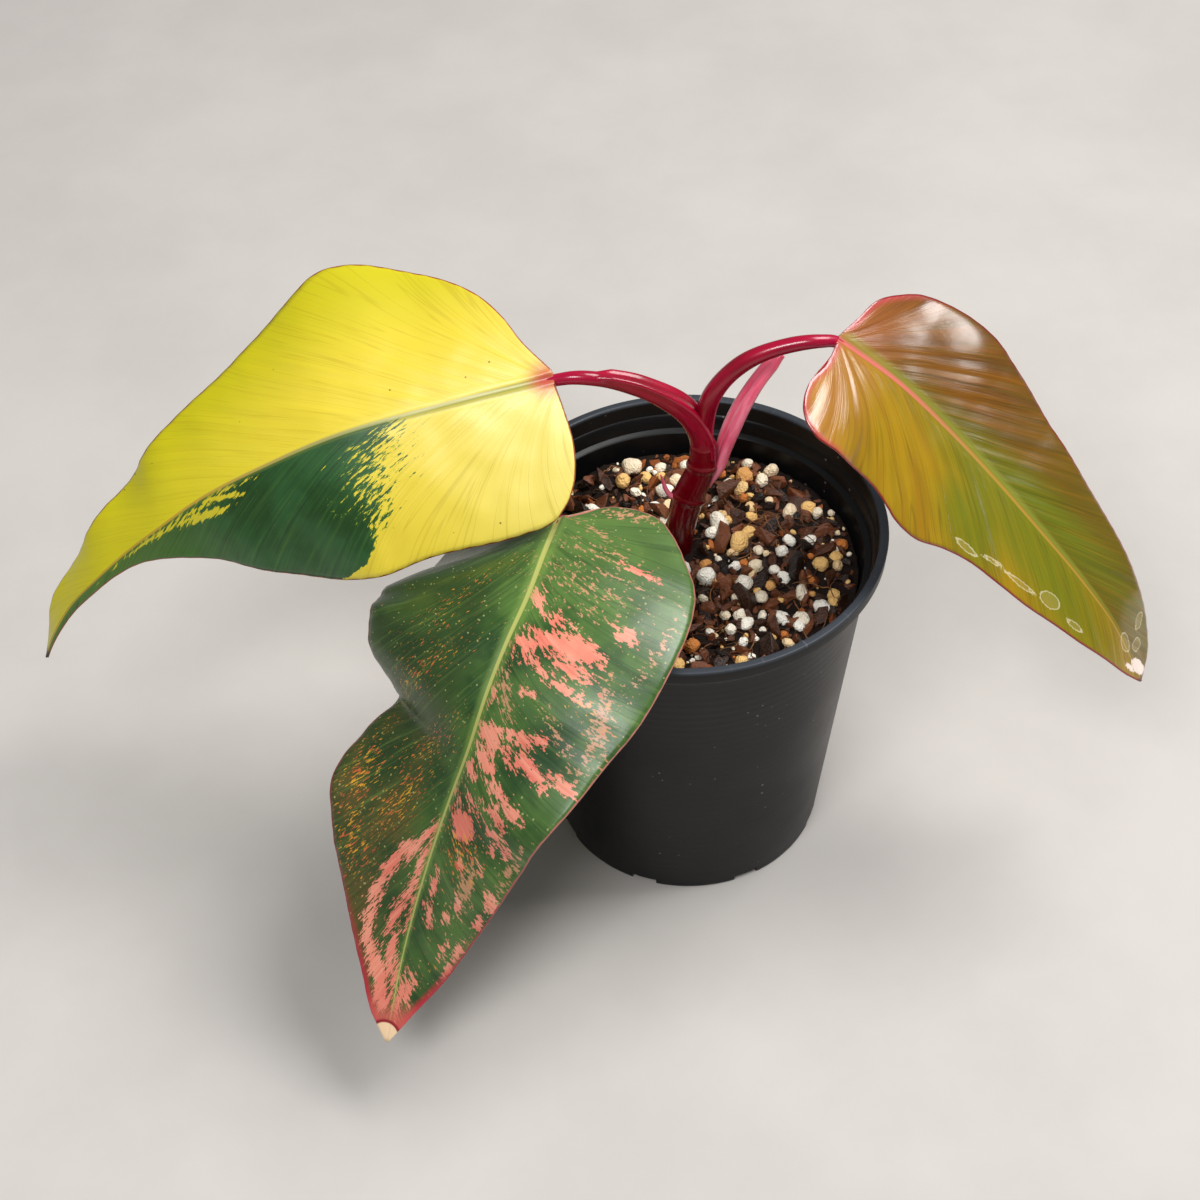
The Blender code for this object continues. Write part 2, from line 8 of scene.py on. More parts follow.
import math
import random
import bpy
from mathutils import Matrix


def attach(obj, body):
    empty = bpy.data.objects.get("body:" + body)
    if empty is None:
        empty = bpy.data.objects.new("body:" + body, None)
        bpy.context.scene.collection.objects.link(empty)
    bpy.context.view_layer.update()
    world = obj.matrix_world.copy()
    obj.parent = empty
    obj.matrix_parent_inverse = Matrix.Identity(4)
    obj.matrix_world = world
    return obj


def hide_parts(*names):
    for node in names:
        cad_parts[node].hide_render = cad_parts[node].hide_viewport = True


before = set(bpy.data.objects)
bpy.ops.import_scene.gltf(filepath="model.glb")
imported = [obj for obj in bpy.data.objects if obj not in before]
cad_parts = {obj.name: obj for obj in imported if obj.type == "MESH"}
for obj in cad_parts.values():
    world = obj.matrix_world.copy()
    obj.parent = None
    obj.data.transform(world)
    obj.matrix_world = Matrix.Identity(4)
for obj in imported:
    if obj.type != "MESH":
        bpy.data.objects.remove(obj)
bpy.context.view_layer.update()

from types import SimpleNamespace

import bmesh
import bpy
import numpy as np
from mathutils import Matrix, Vector, noise

# The pot
POT_HEIGHT = 118.0
RIM_RADIUS = 60.0
RIM_INSET = 0.4
RIM_BAND = 4.5
RIM_LIP = 2.9
RIM_ROUND = 0.6
LIP_ROUND = 1.0
LEDGE_DROP = 10.5
SHOULDER_DROP = 10.0
SHOULDER_RADIUS = 54.6
BASE_RADIUS = 42.0
WALL = 1.6
FLOOR = 1.5
FLOOR_CORNER = 1.2
DRAIN_SLOTS = 8
DRAIN_WIDTH = 8.0
DRAIN_DEPTH = 6.0
DRAIN_HEIGHT = 2.4
CUT_SPARE = 1.0

# The soil. Grain rows are (radius, how many), and bark rows are (half length, how many).
SOIL_LEVEL = 103.0
SOIL_RELIEF = 1.9
SOIL_SINK = 3.0
SOIL_EDGE_RADIUS = 52.0
SOIL_EDGE_START = 0.8
SOIL_EDGE_DROP = 6.0
LUMP_SIZE = 13.0
CRUMB_SIZE = 3.4
CRUMB_HEIGHT = 1.1
BED_SINK = 1.2
BED_FOOT_INSET = 1.9
GRAIN_ZONE = 51.0
PUMICE_SIZES = ((2.6, 22), (2.1, 66), (1.6, 92), (1.0, 90), (0.45, 190))
BARK_SIZES = ((5.0, 34), (3.6, 110), (2.4, 260), (1.5, 420), (0.8, 380))
CHIP_SHARE = 0.07
FIBRES = 230
FIBRE_STEPS = 8
FIBRE_SIDES = 6
SEED = 41

# The plant
FIT_GAP = 0.3
BLADE_THICKNESS = 0.66
MARGIN_ROUND = 0.5
MIDRIB_RADIUS = 1.7
STEM_RADIUS = 4.8
HOLE_DEPTH = 25.0
RIB_FAN = 1.7
RIB_SWEEP = 0.22
FOLD_REACH = 40.0

# Steps of the meshes
POT_SEGMENTS = 160
BED_RINGS = 96
BED_SEGMENTS = 220
BLADE_ROWS = 180
BLADE_COLUMNS = 36

BACK = (0, 1, 0)
FRONT = (0, -1, 0)
RIGHT_HALF = 1
LEFT_HALF = -1
HALVES = {RIGHT_HALF: "right", LEFT_HALF: "left"}

# Stalks are paths of points, and their radii are rows of (share of the length, radius).
STEM_FOOT = (-1.7, 7.1)
STEM_PATH = (
    (-2.3, 7.1, SOIL_LEVEL - HOLE_DEPTH),
    (-1.7, 7.1, 103.0),
    (1.4, 7.1, 122.6),
    (5.4, 7.1, 135.0),
    (5.9, 7.1, 146.0),
)
STEM_RADII = ((0, 4.0), (0.36, 4.2), (0.66, 4.7), (0.84, 4.1), (0.95, 3.9), (1, 2.8))
RING_SCARS = (122.6, 135.0)
SHOOT = ((0.0, 6.4, 122.0), (-3.8, 6.2, 124.5), (-6.6, 6.4, 132.5))
SHOOT_RADII = ((0, 0.9), (0.6, 0.7), (1, 0.25))
YELLOW_PETIOLE = (
    (5.2, 7.1, 139), (4.6, 7.1, 146.5), (1.8, 7.1, 153.5), (-9.1, 7.1, 163.4), (-22.2, 7.1, 168.8),
    (-31, 7.1, 170),
)
YELLOW_PETIOLE_RADII = ((0, 3.0), (0.28, 3.1), (0.5, 2.6), (0.7, 2.1), (0.93, 1.7), (1, 1.1))
OLIVE_PETIOLE = (
    (5.8, 7.1, 140), (6, 7.1, 150), (8.4, 7.1, 161.3), (17.5, 7.1, 172.7), (30, 7.1, 178),
    (38.5, 7.1, 178.9),
)
OLIVE_PETIOLE_RADII = ((0, 3.0), (0.23, 2.9), (0.46, 2.6), (0.7, 2.2), (0.93, 1.7), (1, 1.1))
GREEN_PETIOLE = (
    (-1, 7.1, 107.5), (-7, 2, 109), (-19, -2.5, 113), (-31, -4, 123),
)
GREEN_PETIOLE_RADII = ((0, 2.4), (0.45, 2.2), (0.93, 1.5), (1, 1.0))
SHEATH_LEAF = (
    (7, 7.4, 127), (9.6, 7.9, 132.5), (13, 9.5, 143.1), (17.3, 12, 152.6), (21.5, 14.5, 158.8),
    (26, 17, 163.6), (28.6, 18.4, 166.2),
)
SHEATH_RADII = ((0, 1.6), (0.2, 2.9), (0.45, 3.4), (0.9, 2.7), (1, 2.0))

# Outline rows are (distance along the midrib, distance from it). Fold rows are (distance along the midrib,
# rise in degrees at the midrib, rise in degrees at FOLD_REACH). A ripple is a height, a length and a phase.
# Veins are a slant, which is their lead along the midrib for each step out, and the distance over which they
# straighten up. A quilt is a swelling's width and height.
YELLOW_LEAF = {
    "midrib": (
        (-38, 7, 170), (-68, 6, 163), (-100, 5, 154), (-119, 5, 145), (-143, 5, 131), (-154, 4, 123),
        (-165, 4, 114), (-176, 3, 104), (-186, 3, 93), (-193, 2, 82), (-197, 2, 73),
    ),
    "right": (
        (-2, 2.2), (5, 13), (8, 19.5), (13, 27), (23, 36), (35, 43), (50, 48.5), (58, 49), (67, 45),
        (80, 38.5), (95, 32), (111, 27), (125, 23), (140, 18.5), (155, 14.5), (168, 11.5), (180, 8),
        (193, 0.5),
    ),
    "left": (
        (-2, 2.2), (-3, 10), (-3, 23), (0, 32), (6, 38.5), (18, 40.5), (48, 41.2), (66, 41.6), (81, 39),
        (93, 33), (106, 26), (122, 15), (130, 9.5), (140, 5.2), (150, 3.2), (165, 2.3), (193, 0.5),
    ),
    "right_fold": (
        (0, 40, 28), (60, 38, 26), (100, 34, 22), (140, 28, 14), (191, 15, 0),
    ),
    "left_fold": (
        (0, -42, -52), (60, -44, -58), (100, -56, -70), (140, -70, -85), (190, -80, -95),
    ),
    "ripple": (0.6, 46, 0.5),
    "right_veins": (1.8, 50),
    "left_veins": (2.1, 42),
    "quilt": (5, 0.16),
}
GREEN_LEAF = {
    "midrib": (
        (-37, -13, 134), (-41, -27, 135), (-46, -41, 132), (-52, -53, 127), (-58, -63, 118),
        (-64, -72, 105), (-72, -80, 87), (-80, -89, 67), (-87, -99, 47), (-93, -113, 27),
    ),
    "right": (
        (-2, 2.2), (-6, 7), (-11, 14), (-13, 23), (-10, 32), (-2, 41), (12, 49.5), (32, 53.5), (52, 51),
        (66, 45), (75, 40), (84, 38), (92, 39), (100, 40), (106, 38.5), (112, 35), (125, 27), (139, 18),
        (151, 11), (161, 6.5), (169, 0.5),
    ),
    "left": (
        (-2, 2.2), (-4, 6), (-8, 12), (-9, 20), (-7, 28), (-1, 34), (7, 39), (15, 44), (24, 46), (36, 46),
        (51, 44), (70, 37.8), (85, 32.8), (97, 29.6), (113, 25.6), (130, 20), (148, 13), (159, 6.5),
        (169, 0.5),
    ),
    "right_fold": (
        (0, -16, -44), (30, -4, -30), (58, 0, -24), (77, -8, -34), (93, 2, -14), (110, 10, 4),
        (135, 8, 0), (170, 0, -5),
    ),
    "left_fold": (
        (-10, 8, -14), (40, 8, -16), (90, 4, -12), (170, 0, -8),
    ),
    "ripple": (0.6, 42, 1),
    "right_veins": (1.5, 60),
    "left_veins": (1, 15),
    "quilt": (5, 0.16),
}
OLIVE_LEAF = {
    "midrib": (
        (45, 7, 178), (60, 2, 167), (75, -6, 154), (88, -15, 142), (99, -23, 131), (110, -30, 119),
        (120, -36, 106), (130, -41, 86),
    ),
    "right": (
        (-2, 2.2), (-2, 10), (-4, 18), (-2, 26), (4, 31), (12, 31), (33, 29), (46, 31), (54, 29.8),
        (61, 25.8), (70, 22.2), (80, 20.2), (90, 18.2), (100, 15.2), (111, 12), (121, 8), (130, 4),
        (136, 0.5),
    ),
    "left": (
        (-2, 2.2), (0, 8.5), (3, 17.5), (9, 24.5), (14, 29), (22, 32), (33, 32.5), (46, 29.5), (58, 26),
        (71, 23.5), (86, 22), (99, 19.5), (111, 16.6), (125, 13.4), (131, 9.5), (136, 0.5),
    ),
    "right_fold": (
        (0, -12, -24), (50, -16, -26), (100, -20, -30), (137, -20, -30),
    ),
    "left_fold": (
        (0, 22, 12), (30, 20, 8), (60, 16, 6), (100, 14, 2), (137, 10, 0),
    ),
    "ripple": (0.6, 36, 0),
    "right_veins": (1.9, 40),
    "left_veins": (1.5, 50),
    "quilt": (4.5, 0.5),
}

# Patches are (along, out, half length, half width, degrees from the midrib's direction toward out).
GREEN_PINK = (
    (30, -4, 5, 1.6, -50), (34, -11, 6.5, 1.6, -68), (40, -11, 6.5, 2.6, -88), (40, -21, 7, 3.6, -78),
    (45, -20, 7.5, 2.2, -80), (43, -5, 4, 2, -70), (50, -22, 6, 1.2, -82), (47, -10, 5, 1.2, -80),
    (33, -31, 3.8, 1.7, -80), (15, -27, 4, 1, -78), (54.5, -12, 2.4, 0.9, -80), (60, -1.8, 3, 0.6, 0),
    (69, -5, 4.5, 3.2, -60), (67, -14, 5.5, 1.7, -88), (72, -13, 4, 1.6, -70), (73, -21, 6, 2.2, -72),
    (65, -20, 2.4, 1.2, -60), (76, -7, 5, 2.4, -55), (73, -30, 4.5, 1.4, -80), (80, -3, 3, 1.6, -40),
    (84, -21, 3.6, 2.2, -70), (81, -14, 5, 1.2, -75), (87, -16, 5, 1.8, -80), (92, -17, 4, 1.6, -85),
    (96, -19, 2.6, 1.4, 0), (96, -7, 5.5, 3.8, -45), (88, -8, 3, 1, -60), (90, -3, 3.4, 1.2, -30),
    (95, -23, 2, 1, 0), (107, -10, 3.4, 1.5, -40), (113, -23, 3.2, 1.8, -20), (120, -21, 3.4, 1, 10),
    (120, -13, 3, 1.3, -20), (125, -11, 2, 1.1, 0), (127, -5, 4, 1.3, -20), (118, -4, 3.6, 1.3, -10),
    (134, -16.5, 5, 1.1, 16), (141, -14.5, 4, 1, 18), (152, -4, 5, 1.4, 5), (135, -12, 2.6, 0.9, 0),
    (156, -1.5, 8, 1.8, 0), (104, -16, 2.4, 0.9, -40), (104, 2.5, 5.5, 1.3, 28), (111, 6.5, 6, 2, 40),
    (118, 10.5, 6.5, 2.3, 26), (127, 12.6, 6.5, 2.1, 6), (136, 12.6, 6.5, 1.8, -6),
    (144, 10, 5.5, 2, -28), (149, 6.5, 5.5, 2.6, -24), (156, 4, 5, 2.6, -12), (112, 2, 8, 1.2, 6),
    (124, 3.6, 7, 1.6, 12), (133, 5.4, 6, 1.7, 6), (143, 3.4, 8, 1.9, -6), (150, 1, 6, 1.2, 0),
    (128, 0.8, 6, 0.7, 0),
)
GREEN_FAINT = (
    (-6, -20, 8, 2, 85), (4, -14, 6, 1.1, -62), (12, -12, 7, 0.9, -76), (24, -12, 8, 0.9, -82),
    (24, -22, 5, 0.8, -82), (56, -34, 12, 3, -10), (19, -22, 7, 0.7, -82), (11, -20, 5, 0.6, -75),
    (20, -10, 7, 0.7, -75), (30, -20, 6, 0.7, -85), (64, -26, 8, 1.4, -50), (36, -40, 8, 1.2, 10),
    (58, -6, 9, 2, -30), (112, -14, 10, 3, 0), (100, -26, 8, 1.6, 8),
)
GREEN_ORANGE = (
    (101, 31, 13, 6, -8), (82, 14, 13, 4, 32), (62, 24, 16, 4, 34), (52, 25, 8, 1.8, 34),
    (117, 25, 12, 6, -20), (100, 15, 14, 5, 20), (36, 22, 10, 1.4, 36), (104, -10, 10, 7, 0),
    (146, -11, 6, 1.8, 14), (52, -30, 8, 4, -70), (120, 20, 8, 4, 0),
)
YELLOW_STREAKS = (
    (110, -4.9, 7, 1.1, 6), (104, -2.4, 6, 0.7, 14), (117, -3, 5, 0.6, 6), (124, -1.9, 7, 0.45, 4),
    (99, -1, 4.5, 0.4, 4), (112, -2, 6, 0.5, 4), (132, -1, 8, 0.3, 0),
)
OLIVE_GREEN = (
    (78, 5, 42, 8, 6), (72, -5, 34, 5, -6), (62, 14, 14, 8, 20),
)
OLIVE_DROPS = (
    (94, 11.6, 3.6, 2, -12), (121.5, -10, 2.8, 1.5, 70), (121.5, -0.6, 3, 1.7, 10),
    (105, 10.4, 3, 0.8, -12), (84, 15.2, 5, 0.7, -12), (66, 20.2, 4, 0.9, -8), (74, 17, 3, 0.6, -18),
    (126, -4.6, 1.8, 2.2, 0),
)
OLIVE_TIP = (
    (131.5, -1.2, 4, 2, -20), (129, 1.8, 2.6, 0.8, -20),
)
# The marbled edge of the green sector on the yellow leaf's near half: (distance out, distance along where
# the marbling starts, distance along where it ends).
SECTOR_EDGE = (
    (0, 40, 48), (4, 42.5, 54), (8, 44.5, 60), (12, 47, 61.5), (16, 47.5, 62), (20, 48.5, 63.5),
    (24, 51.5, 62.5), (28, 56, 62), (31, 60, 62.6), (33, 61.8, 63.2), (35, 64, 64.8), (37, 67.6, 68.4),
    (38.5, 73.8, 74.6), (39.6, 80, 80.8),
)


def mm(point):
    return Vector(point) * 0.001


def linear(tone):
    """A colour in screen values from 0 to 255, as the linear values that a shader takes."""
    shares = [value / 255 for value in tone]
    return (*[s / 12.92 if s <= 0.04045 else ((s + 0.055) / 1.055) ** 2.4 for s in shares], 1.0)


def ease(values, low, high):
    share = np.clip((np.asarray(values, float) - low) / (high - low), 0, 1)
    return share * share * (3 - 2 * share)


def unit(rows):
    return rows / np.linalg.norm(rows, axis=-1, keepdims=True)


class Curve:
    """A smooth curve through points, read at an array of distances along them."""

    def __init__(self, points):
        self.points = np.array(points, float)
        steps = np.linalg.norm(np.diff(self.points, axis=0), axis=1)
        self.knots = np.concatenate([[0.0], np.cumsum(steps)])
        self.length = self.knots[-1]
        chords = np.diff(self.points, axis=0) / steps[:, None]
        share = (steps[:-1] / (steps[:-1] + steps[1:]))[:, None]
        inner = chords[:-1] * (1 - share) + chords[1:] * share
        self.slopes = np.concatenate([chords[:1], inner, chords[-1:]])

    def at(self, distance):
        distance = np.clip(np.asarray(distance, float), 0, self.length)
        i = np.clip(np.searchsorted(self.knots, distance, side="right") - 1, 0, len(self.knots) - 2)
        span = (self.knots[i + 1] - self.knots[i])[..., None]
        t = (distance - self.knots[i])[..., None] / span
        rise = t * t * (3 - 2 * t)
        leave = t * (1 - t) ** 2 * span
        arrive = t * t * (t - 1) * span
        middle = self.points[i] * (1 - rise) + self.points[i + 1] * rise
        return middle + self.slopes[i] * leave + self.slopes[i + 1] * arrive


def between(rows, where):
    """The values of a table at an array of places, eased from row to row."""
    rows = np.array(rows, float)
    where = np.clip(where, rows[0, 0], rows[-1, 0])
    i = np.clip(np.searchsorted(rows[:, 0], where, side="right") - 1, 0, len(rows) - 2)
    t = (where - rows[i, 0]) / (rows[i + 1, 0] - rows[i, 0])
    t = (t * t * (3 - 2 * t))[..., None]
    return rows[i, 1:] * (1 - t) + rows[i + 1, 1:] * t


class Blade:
    """A leaf blade's bend: it turns places on the flat leaf into points of the plant."""

    def __init__(self, leaf):
        self.leaf = leaf
        self.midrib = Curve(leaf["midrib"])
        self.length = self.midrib.length
        self.margins = {side: Curve(leaf[half]) for side, half in HALVES.items()}

    def frame(self, along):
        """The midrib's point, and the directions forward, to the right and up there."""
        inside = np.clip(along, 0, self.length)
        forward = unit(self.midrib.at(inside + 0.5) - self.midrib.at(inside - 0.5))
        right = unit(np.cross(forward, (0.0, 0.0, 1.0)))
        centre = self.midrib.at(inside) + forward * (along - inside)[..., None]
        return centre, forward, right, np.cross(right, forward)

    def point(self, side, along, out):
        centre, _, right, up = self.frame(along)
        start, end = np.moveaxis(np.radians(between(self.leaf[HALVES[side] + "_fold"], along)), -1, 0)
        curl = (end - start) / FOLD_REACH
        level = (np.sin(start + curl * out) - np.sin(start)) / curl
        rise = (np.cos(start) - np.cos(start + curl * out)) / curl
        height, length, phase = self.leaf["ripple"]
        if side == LEFT_HALF:
            phase += 2.1
        rise = rise + height * (out / FOLD_REACH) ** 2 * np.sin(2 * np.pi * along / length + phase)
        return centre + right * (side * level)[..., None] + up * rise[..., None]

    def normal(self, side, along, out):
        step = 0.4
        outward = self.point(side, along, out + step) - self.point(side, along, out)
        onward = self.point(side, along + step, out) - self.point(side, along - step, out)
        return unit(np.cross(outward, onward)) * side

    def flat(self, side, row_share, rib_share):
        """A place on the flat leaf. Ribs leave the midrib close together at the base and sweep forward."""
        margin = self.margins[side]
        end = margin.at(row_share * margin.length)
        foot = margin.points[0][0]
        start = foot + (self.length - foot) * row_share**RIB_FAN
        sweep = RIB_SWEEP * rib_share * (1 - rib_share) * end[..., 1] * (1 - row_share) * row_share * 4
        along = start + (end[..., 0] - start) * rib_share - sweep
        return along, end[..., 1] * rib_share

    def vein_place(self, side, along, out):
        """Where the vein through a place starts on the midrib, and how far along the vein the place lies.
        Veins that would start behind the blade's foot fan out from it, counted backward by their angle."""
        slant, reach = self.leaf[HALVES[side] + "_veins"]
        tipward = 1 + 0.5 * np.clip(along, 0, None) / self.length
        lead = slant * reach * (1 - np.exp(-out / reach)) * tipward
        start = along - lead
        spread = np.hypot(along, out)
        vein = np.where(start > 0, start, start * 24.0 / (spread + 6.0))
        return vein, np.where(start > 0, np.hypot(lead, out), spread)


def patch_field(patches, along, out):
    """About how far, in millimetres, a place lies inside the nearest patch. It is negative outside them."""
    best = np.full(np.shape(along), -30.0)
    for middle, side_way, half_long, half_wide, degrees in patches:
        turn = math.radians(degrees)
        a = (along - middle) * math.cos(turn) + (out - side_way) * math.sin(turn)
        b = (out - side_way) * math.cos(turn) - (along - middle) * math.sin(turn)
        reach = np.hypot(a / half_long, b / half_wide)
        best = np.maximum(best, (1 - reach) * min(half_long, half_wide))
    return best


def noise_at(places, size, seed):
    """Smooth noise from -1 to 1 at an array of flat places."""
    flat = places.reshape(-1, 2) / size
    return np.array([noise.noise(Vector((x, y, seed))) for x, y in flat]).reshape(places.shape[:-1])


def write_vectors(mesh, name, rows):
    made = mesh.attributes.new(name, "FLOAT_VECTOR", "POINT")
    made.data.foreach_set("vector", np.asarray(rows, np.float32).ravel())


def mesh_of(name, points, faces):
    """A smooth mesh from points in millimetres."""
    mesh = bpy.data.meshes.new(name)
    mesh.from_pydata((np.asarray(points) * 0.001).tolist(), [], faces)
    mesh.update()
    mesh.shade_smooth()
    return mesh


def add_object(name, data):
    made = bpy.data.objects.new(name, data)
    bpy.context.scene.collection.objects.link(made)
    return made


def add_piece(name, mesh, finish, slot, *replaced):
    """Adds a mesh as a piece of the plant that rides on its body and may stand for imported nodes."""
    piece = add_object(name, mesh)
    mesh.materials.append(finish)
    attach(piece, "root")
    if replaced:
        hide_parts(*replaced)
    return piece


def circle(radius, sides):
    angles = 2 * np.pi * np.arange(sides) / sides
    return radius * np.stack([np.cos(angles), np.sin(angles)], -1)


def ring_faces(rings, sides, first=0):
    """The faces that join rings of points, which are numbered on from first."""
    here = first + np.arange(rings * sides).reshape(rings, sides)
    onward = np.roll(here, -1, axis=1)
    return np.stack([here[:-1], onward[:-1], onward[1:], here[1:]], -1).reshape(-1, 4).tolist()


def closed_rings(first, rings, last):
    """The points and faces of a closed skin round Z, from a middle point underneath to another on top."""
    sides = len(rings[0])
    points = np.concatenate([[first], *rings, [last]])
    end = len(points) - 1
    faces = ring_faces(len(rings), sides, 1)
    for j in range(sides):
        k = (j + 1) % sides
        faces += [(0, 1 + k, 1 + j), (end, end - sides + j, end - sides + k)]
    return points, faces


def tube_skin(centre, across, top, reach):
    """The points and faces of a closed tube. reach holds a row of radii for each ring of points."""
    rings, sides = reach.shape
    around = circle(1, sides)
    ring = across[:, None] * around[:, :1] + top[:, None] * around[:, 1:]
    points = (centre[:, None] + ring * reach[..., None]).reshape(-1, 3)
    ends = [list(reversed(range(sides))), list(range((rings - 1) * sides, rings * sides))]
    return points, ring_faces(rings, sides) + ends


class Field:
    """A value that varies over a surface: a node's output. Arithmetic on fields adds the nodes for it."""

    def __init__(self, graph, socket):
        self.graph = graph
        self.socket = socket

    def __add__(self, other):
        return self.graph.math("ADD", self, other)

    def __sub__(self, other):
        return self.graph.math("SUBTRACT", self, other)

    def __rsub__(self, other):
        return self.graph.math("SUBTRACT", other, self)

    def __mul__(self, other):
        return self.graph.math("MULTIPLY", self, other)

    def __abs__(self):
        return self.graph.math("ABSOLUTE", self)

    def ease(self, low, high):
        """0 where the field is at low, 1 where it is at high, and eased between them."""
        return self.graph.field("MapRange", (self, low, high, 0, 1), interpolation_type="SMOOTHSTEP")

    def parts(self):
        """The three numbers of a vector."""
        return [Field(self.graph, part) for part in self.graph.node("SeparateXYZ", (self,)).outputs]

    def length(self):
        return self.graph.field("VectorMath", (self,), "Value", operation="LENGTH")

    def noise(self, scale, detail=3, roughness=0.55):
        """Soft noise from 0 to 1. The scale is a number, or one for each direction."""
        place, scale = (self.scaled(*scale), 1) if isinstance(scale, tuple) else (self, scale)
        inputs = {"Vector": place, "Scale": scale, "Detail": detail, "Roughness": roughness}
        return self.graph.field("TexNoise", inputs, "Fac")

    def cells(self, scale):
        """The distance to the middle of the nearest cell, and that cell's own colour."""
        outputs = self.graph.node("TexVoronoi", {"Vector": self, "Scale": scale}).outputs
        return Field(self.graph, outputs["Distance"]), Field(self.graph, outputs["Color"])

    def scaled(self, x, y, z=1):
        return self.graph.field("VectorMath", (self, (x, y, z)), operation="MULTIPLY")


class Graph:
    """A material of nodes round one Principled shader."""

    def __init__(self, name, **sockets):
        self.material = bpy.data.materials.new(name)
        self.material.use_nodes = True
        self.tree = self.material.node_tree
        self.shader = self.tree.nodes["Principled BSDF"]
        for socket, value in sockets.items():
            self.shader.inputs[socket.replace("_", " ")].default_value = value

    def set(self, socket, value):
        """Links an input to a field, or gives it a value. A plain colour is in screen values."""
        if isinstance(value, Field):
            self.tree.links.new(value.socket, socket)
        else:
            socket.default_value = linear(value) if socket.type == "RGBA" else value

    def node(self, kind, inputs=(), **settings):
        """Adds a node. Its inputs come in order, or by name or number in a dictionary."""
        made = self.tree.nodes.new("ShaderNode" + kind)
        for name, value in settings.items():
            setattr(made, name, value)
        for key, value in inputs.items() if isinstance(inputs, dict) else enumerate(inputs):
            self.set(made.inputs[key], value)
        return made

    def field(self, kind, inputs=(), output=0, **settings):
        return Field(self, self.node(kind, inputs, **settings).outputs[output])

    def math(self, operation, *values):
        return self.field("Math", values, operation=operation)

    def attribute(self, name):
        return self.field("Attribute", (), "Vector", attribute_name=name)

    def place(self):
        """Where a point is, in metres."""
        return self.field("TexCoord", (), "Object")

    def join(self, x, y, z=0):
        return self.field("CombineXYZ", (x, y, z))

    def mix(self, share, a, b):
        """The colour a under a share of the colour b."""
        return self.field("Mix", {0: share, 6: a, 7: b}, 2, data_type="RGBA")

    def over(self, base, *coats):
        """A base under coats of colour. A coat is its share of cover and its colour."""
        for share, tone in coats:
            base = self.mix(share, base, tone)
        return base

    def finish(self, base, roughness, height, strength, distance):
        """The material with a bump made from a height. Where roughness is None, the shader keeps its own."""
        self.set(self.shader.inputs["Base Color"], base)
        if roughness is not None:
            self.set(self.shader.inputs["Roughness"], roughness)
        bump = self.field("Bump", {"Height": height, "Strength": strength, "Distance": distance}, "Normal")
        self.set(self.shader.inputs["Normal"], bump)
        return self.material


def half_skin(blade, side, marks):
    """A half's upper points, its under points, and the four vectors that its material reads."""
    columns = np.linspace(0, 1, BLADE_COLUMNS + 1)
    rows = np.linspace(0, 1, BLADE_ROWS + 1)
    share, rib = np.meshgrid(rows, 0.7 * columns + 0.3 * columns**2, indexing="ij")
    along, out = blade.flat(side, share, rib)
    place = np.stack([along, out], -1)
    margin = blade.margins[side]
    outline = margin.at(np.linspace(0, margin.length, 400))
    gap = np.linalg.norm(place[:, :, None] - outline, axis=-1).min(axis=-1)
    radius = MIDRIB_RADIUS * (1 - share) ** 0.8 + 0.2
    nearness = np.clip(out / radius, 0, 1)
    lean = ease(nearness, 0, 0.8)[..., None]
    normal = unit(blade.normal(side, along, out) * lean + blade.frame(along)[3] * (1 - lean))
    vein, run = blade.vein_place(side, along, out)
    sway = noise_at(place, 17.0, side * 7.0) * 0.35 + noise_at(place, 7.0, side * 11.0) * 0.1
    width, height = blade.leaf["quilt"]
    quilt = noise_at(np.stack([vein, run * 0.1], -1), width, side * 5.0) * height
    quiet = ease(gap, 0, 4) * ease(out, 0, 6)
    middle = blade.point(side, along, out) + normal * ((sway + quilt) * quiet)[..., None]
    edge = BLADE_THICKNESS / 2 * np.sqrt(np.clip(gap / MARGIN_ROUND, 0.12, 1))
    groove = 0.3 * np.exp(-((out / (0.4 * radius)) ** 2))
    crest = 0.2 * np.exp(-(((out - 0.9 * radius) / (0.4 * radius)) ** 2))
    drop = radius * 1.3 * np.sqrt(np.clip(1 - nearness**2, 0, 1))
    zero = 0 * along
    return (
        middle + normal * (edge + (crest - groove) * radius / MIDRIB_RADIUS)[..., None],
        middle - normal * (edge + drop)[..., None],
        np.stack([along, out * side, zero], -1),
        np.stack([vein, run, zero + 50.0 * side], -1),
        np.stack([gap, out / radius, zero], -1),
        np.stack(marks(along, out * side), -1),
    )


def leaf_mesh(name, leaf, marks):
    """A blade of two skins. marks(along, out) gives its three mark fields, and out is signed there."""
    blade = Blade(leaf)
    halves = [half_skin(blade, side, marks) for side in (LEFT_HALF, RIGHT_HALF)]
    # Both halves make one sheet, with the midrib's column once.
    sheets = [np.concatenate([left[:, ::-1], right[:, 1:]], axis=1) for left, right in zip(*halves)]
    rows, columns = sheets[0].shape[:2]
    top, under, *vectors = [sheet.reshape(-1, 3) for sheet in sheets]
    skin = len(top)
    grid = np.arange(skin).reshape(rows, columns)
    a = grid[:-1, :-1].ravel()
    faces = np.stack([a, a + 1, a + 1 + columns, a + columns], -1).tolist()
    faces += (skin + np.stack([a, a + columns, a + 1 + columns, a + 1], -1)).tolist()
    rim = np.concatenate([grid[0], grid[1:, -1], grid[-1, -2::-1], grid[-2:0:-1, 0]])
    onward = np.roll(rim, -1)
    faces += np.stack([onward, rim, skin + rim, skin + onward], -1).tolist()
    mesh = mesh_of(name, np.concatenate([top, under]), faces)
    for label, values in zip(("flat", "grain", "edge", "marks"), vectors):
        beneath = values + (0, 0, 1) if label == "edge" else values
        write_vectors(mesh, label, np.concatenate([values, beneath]))
    return mesh


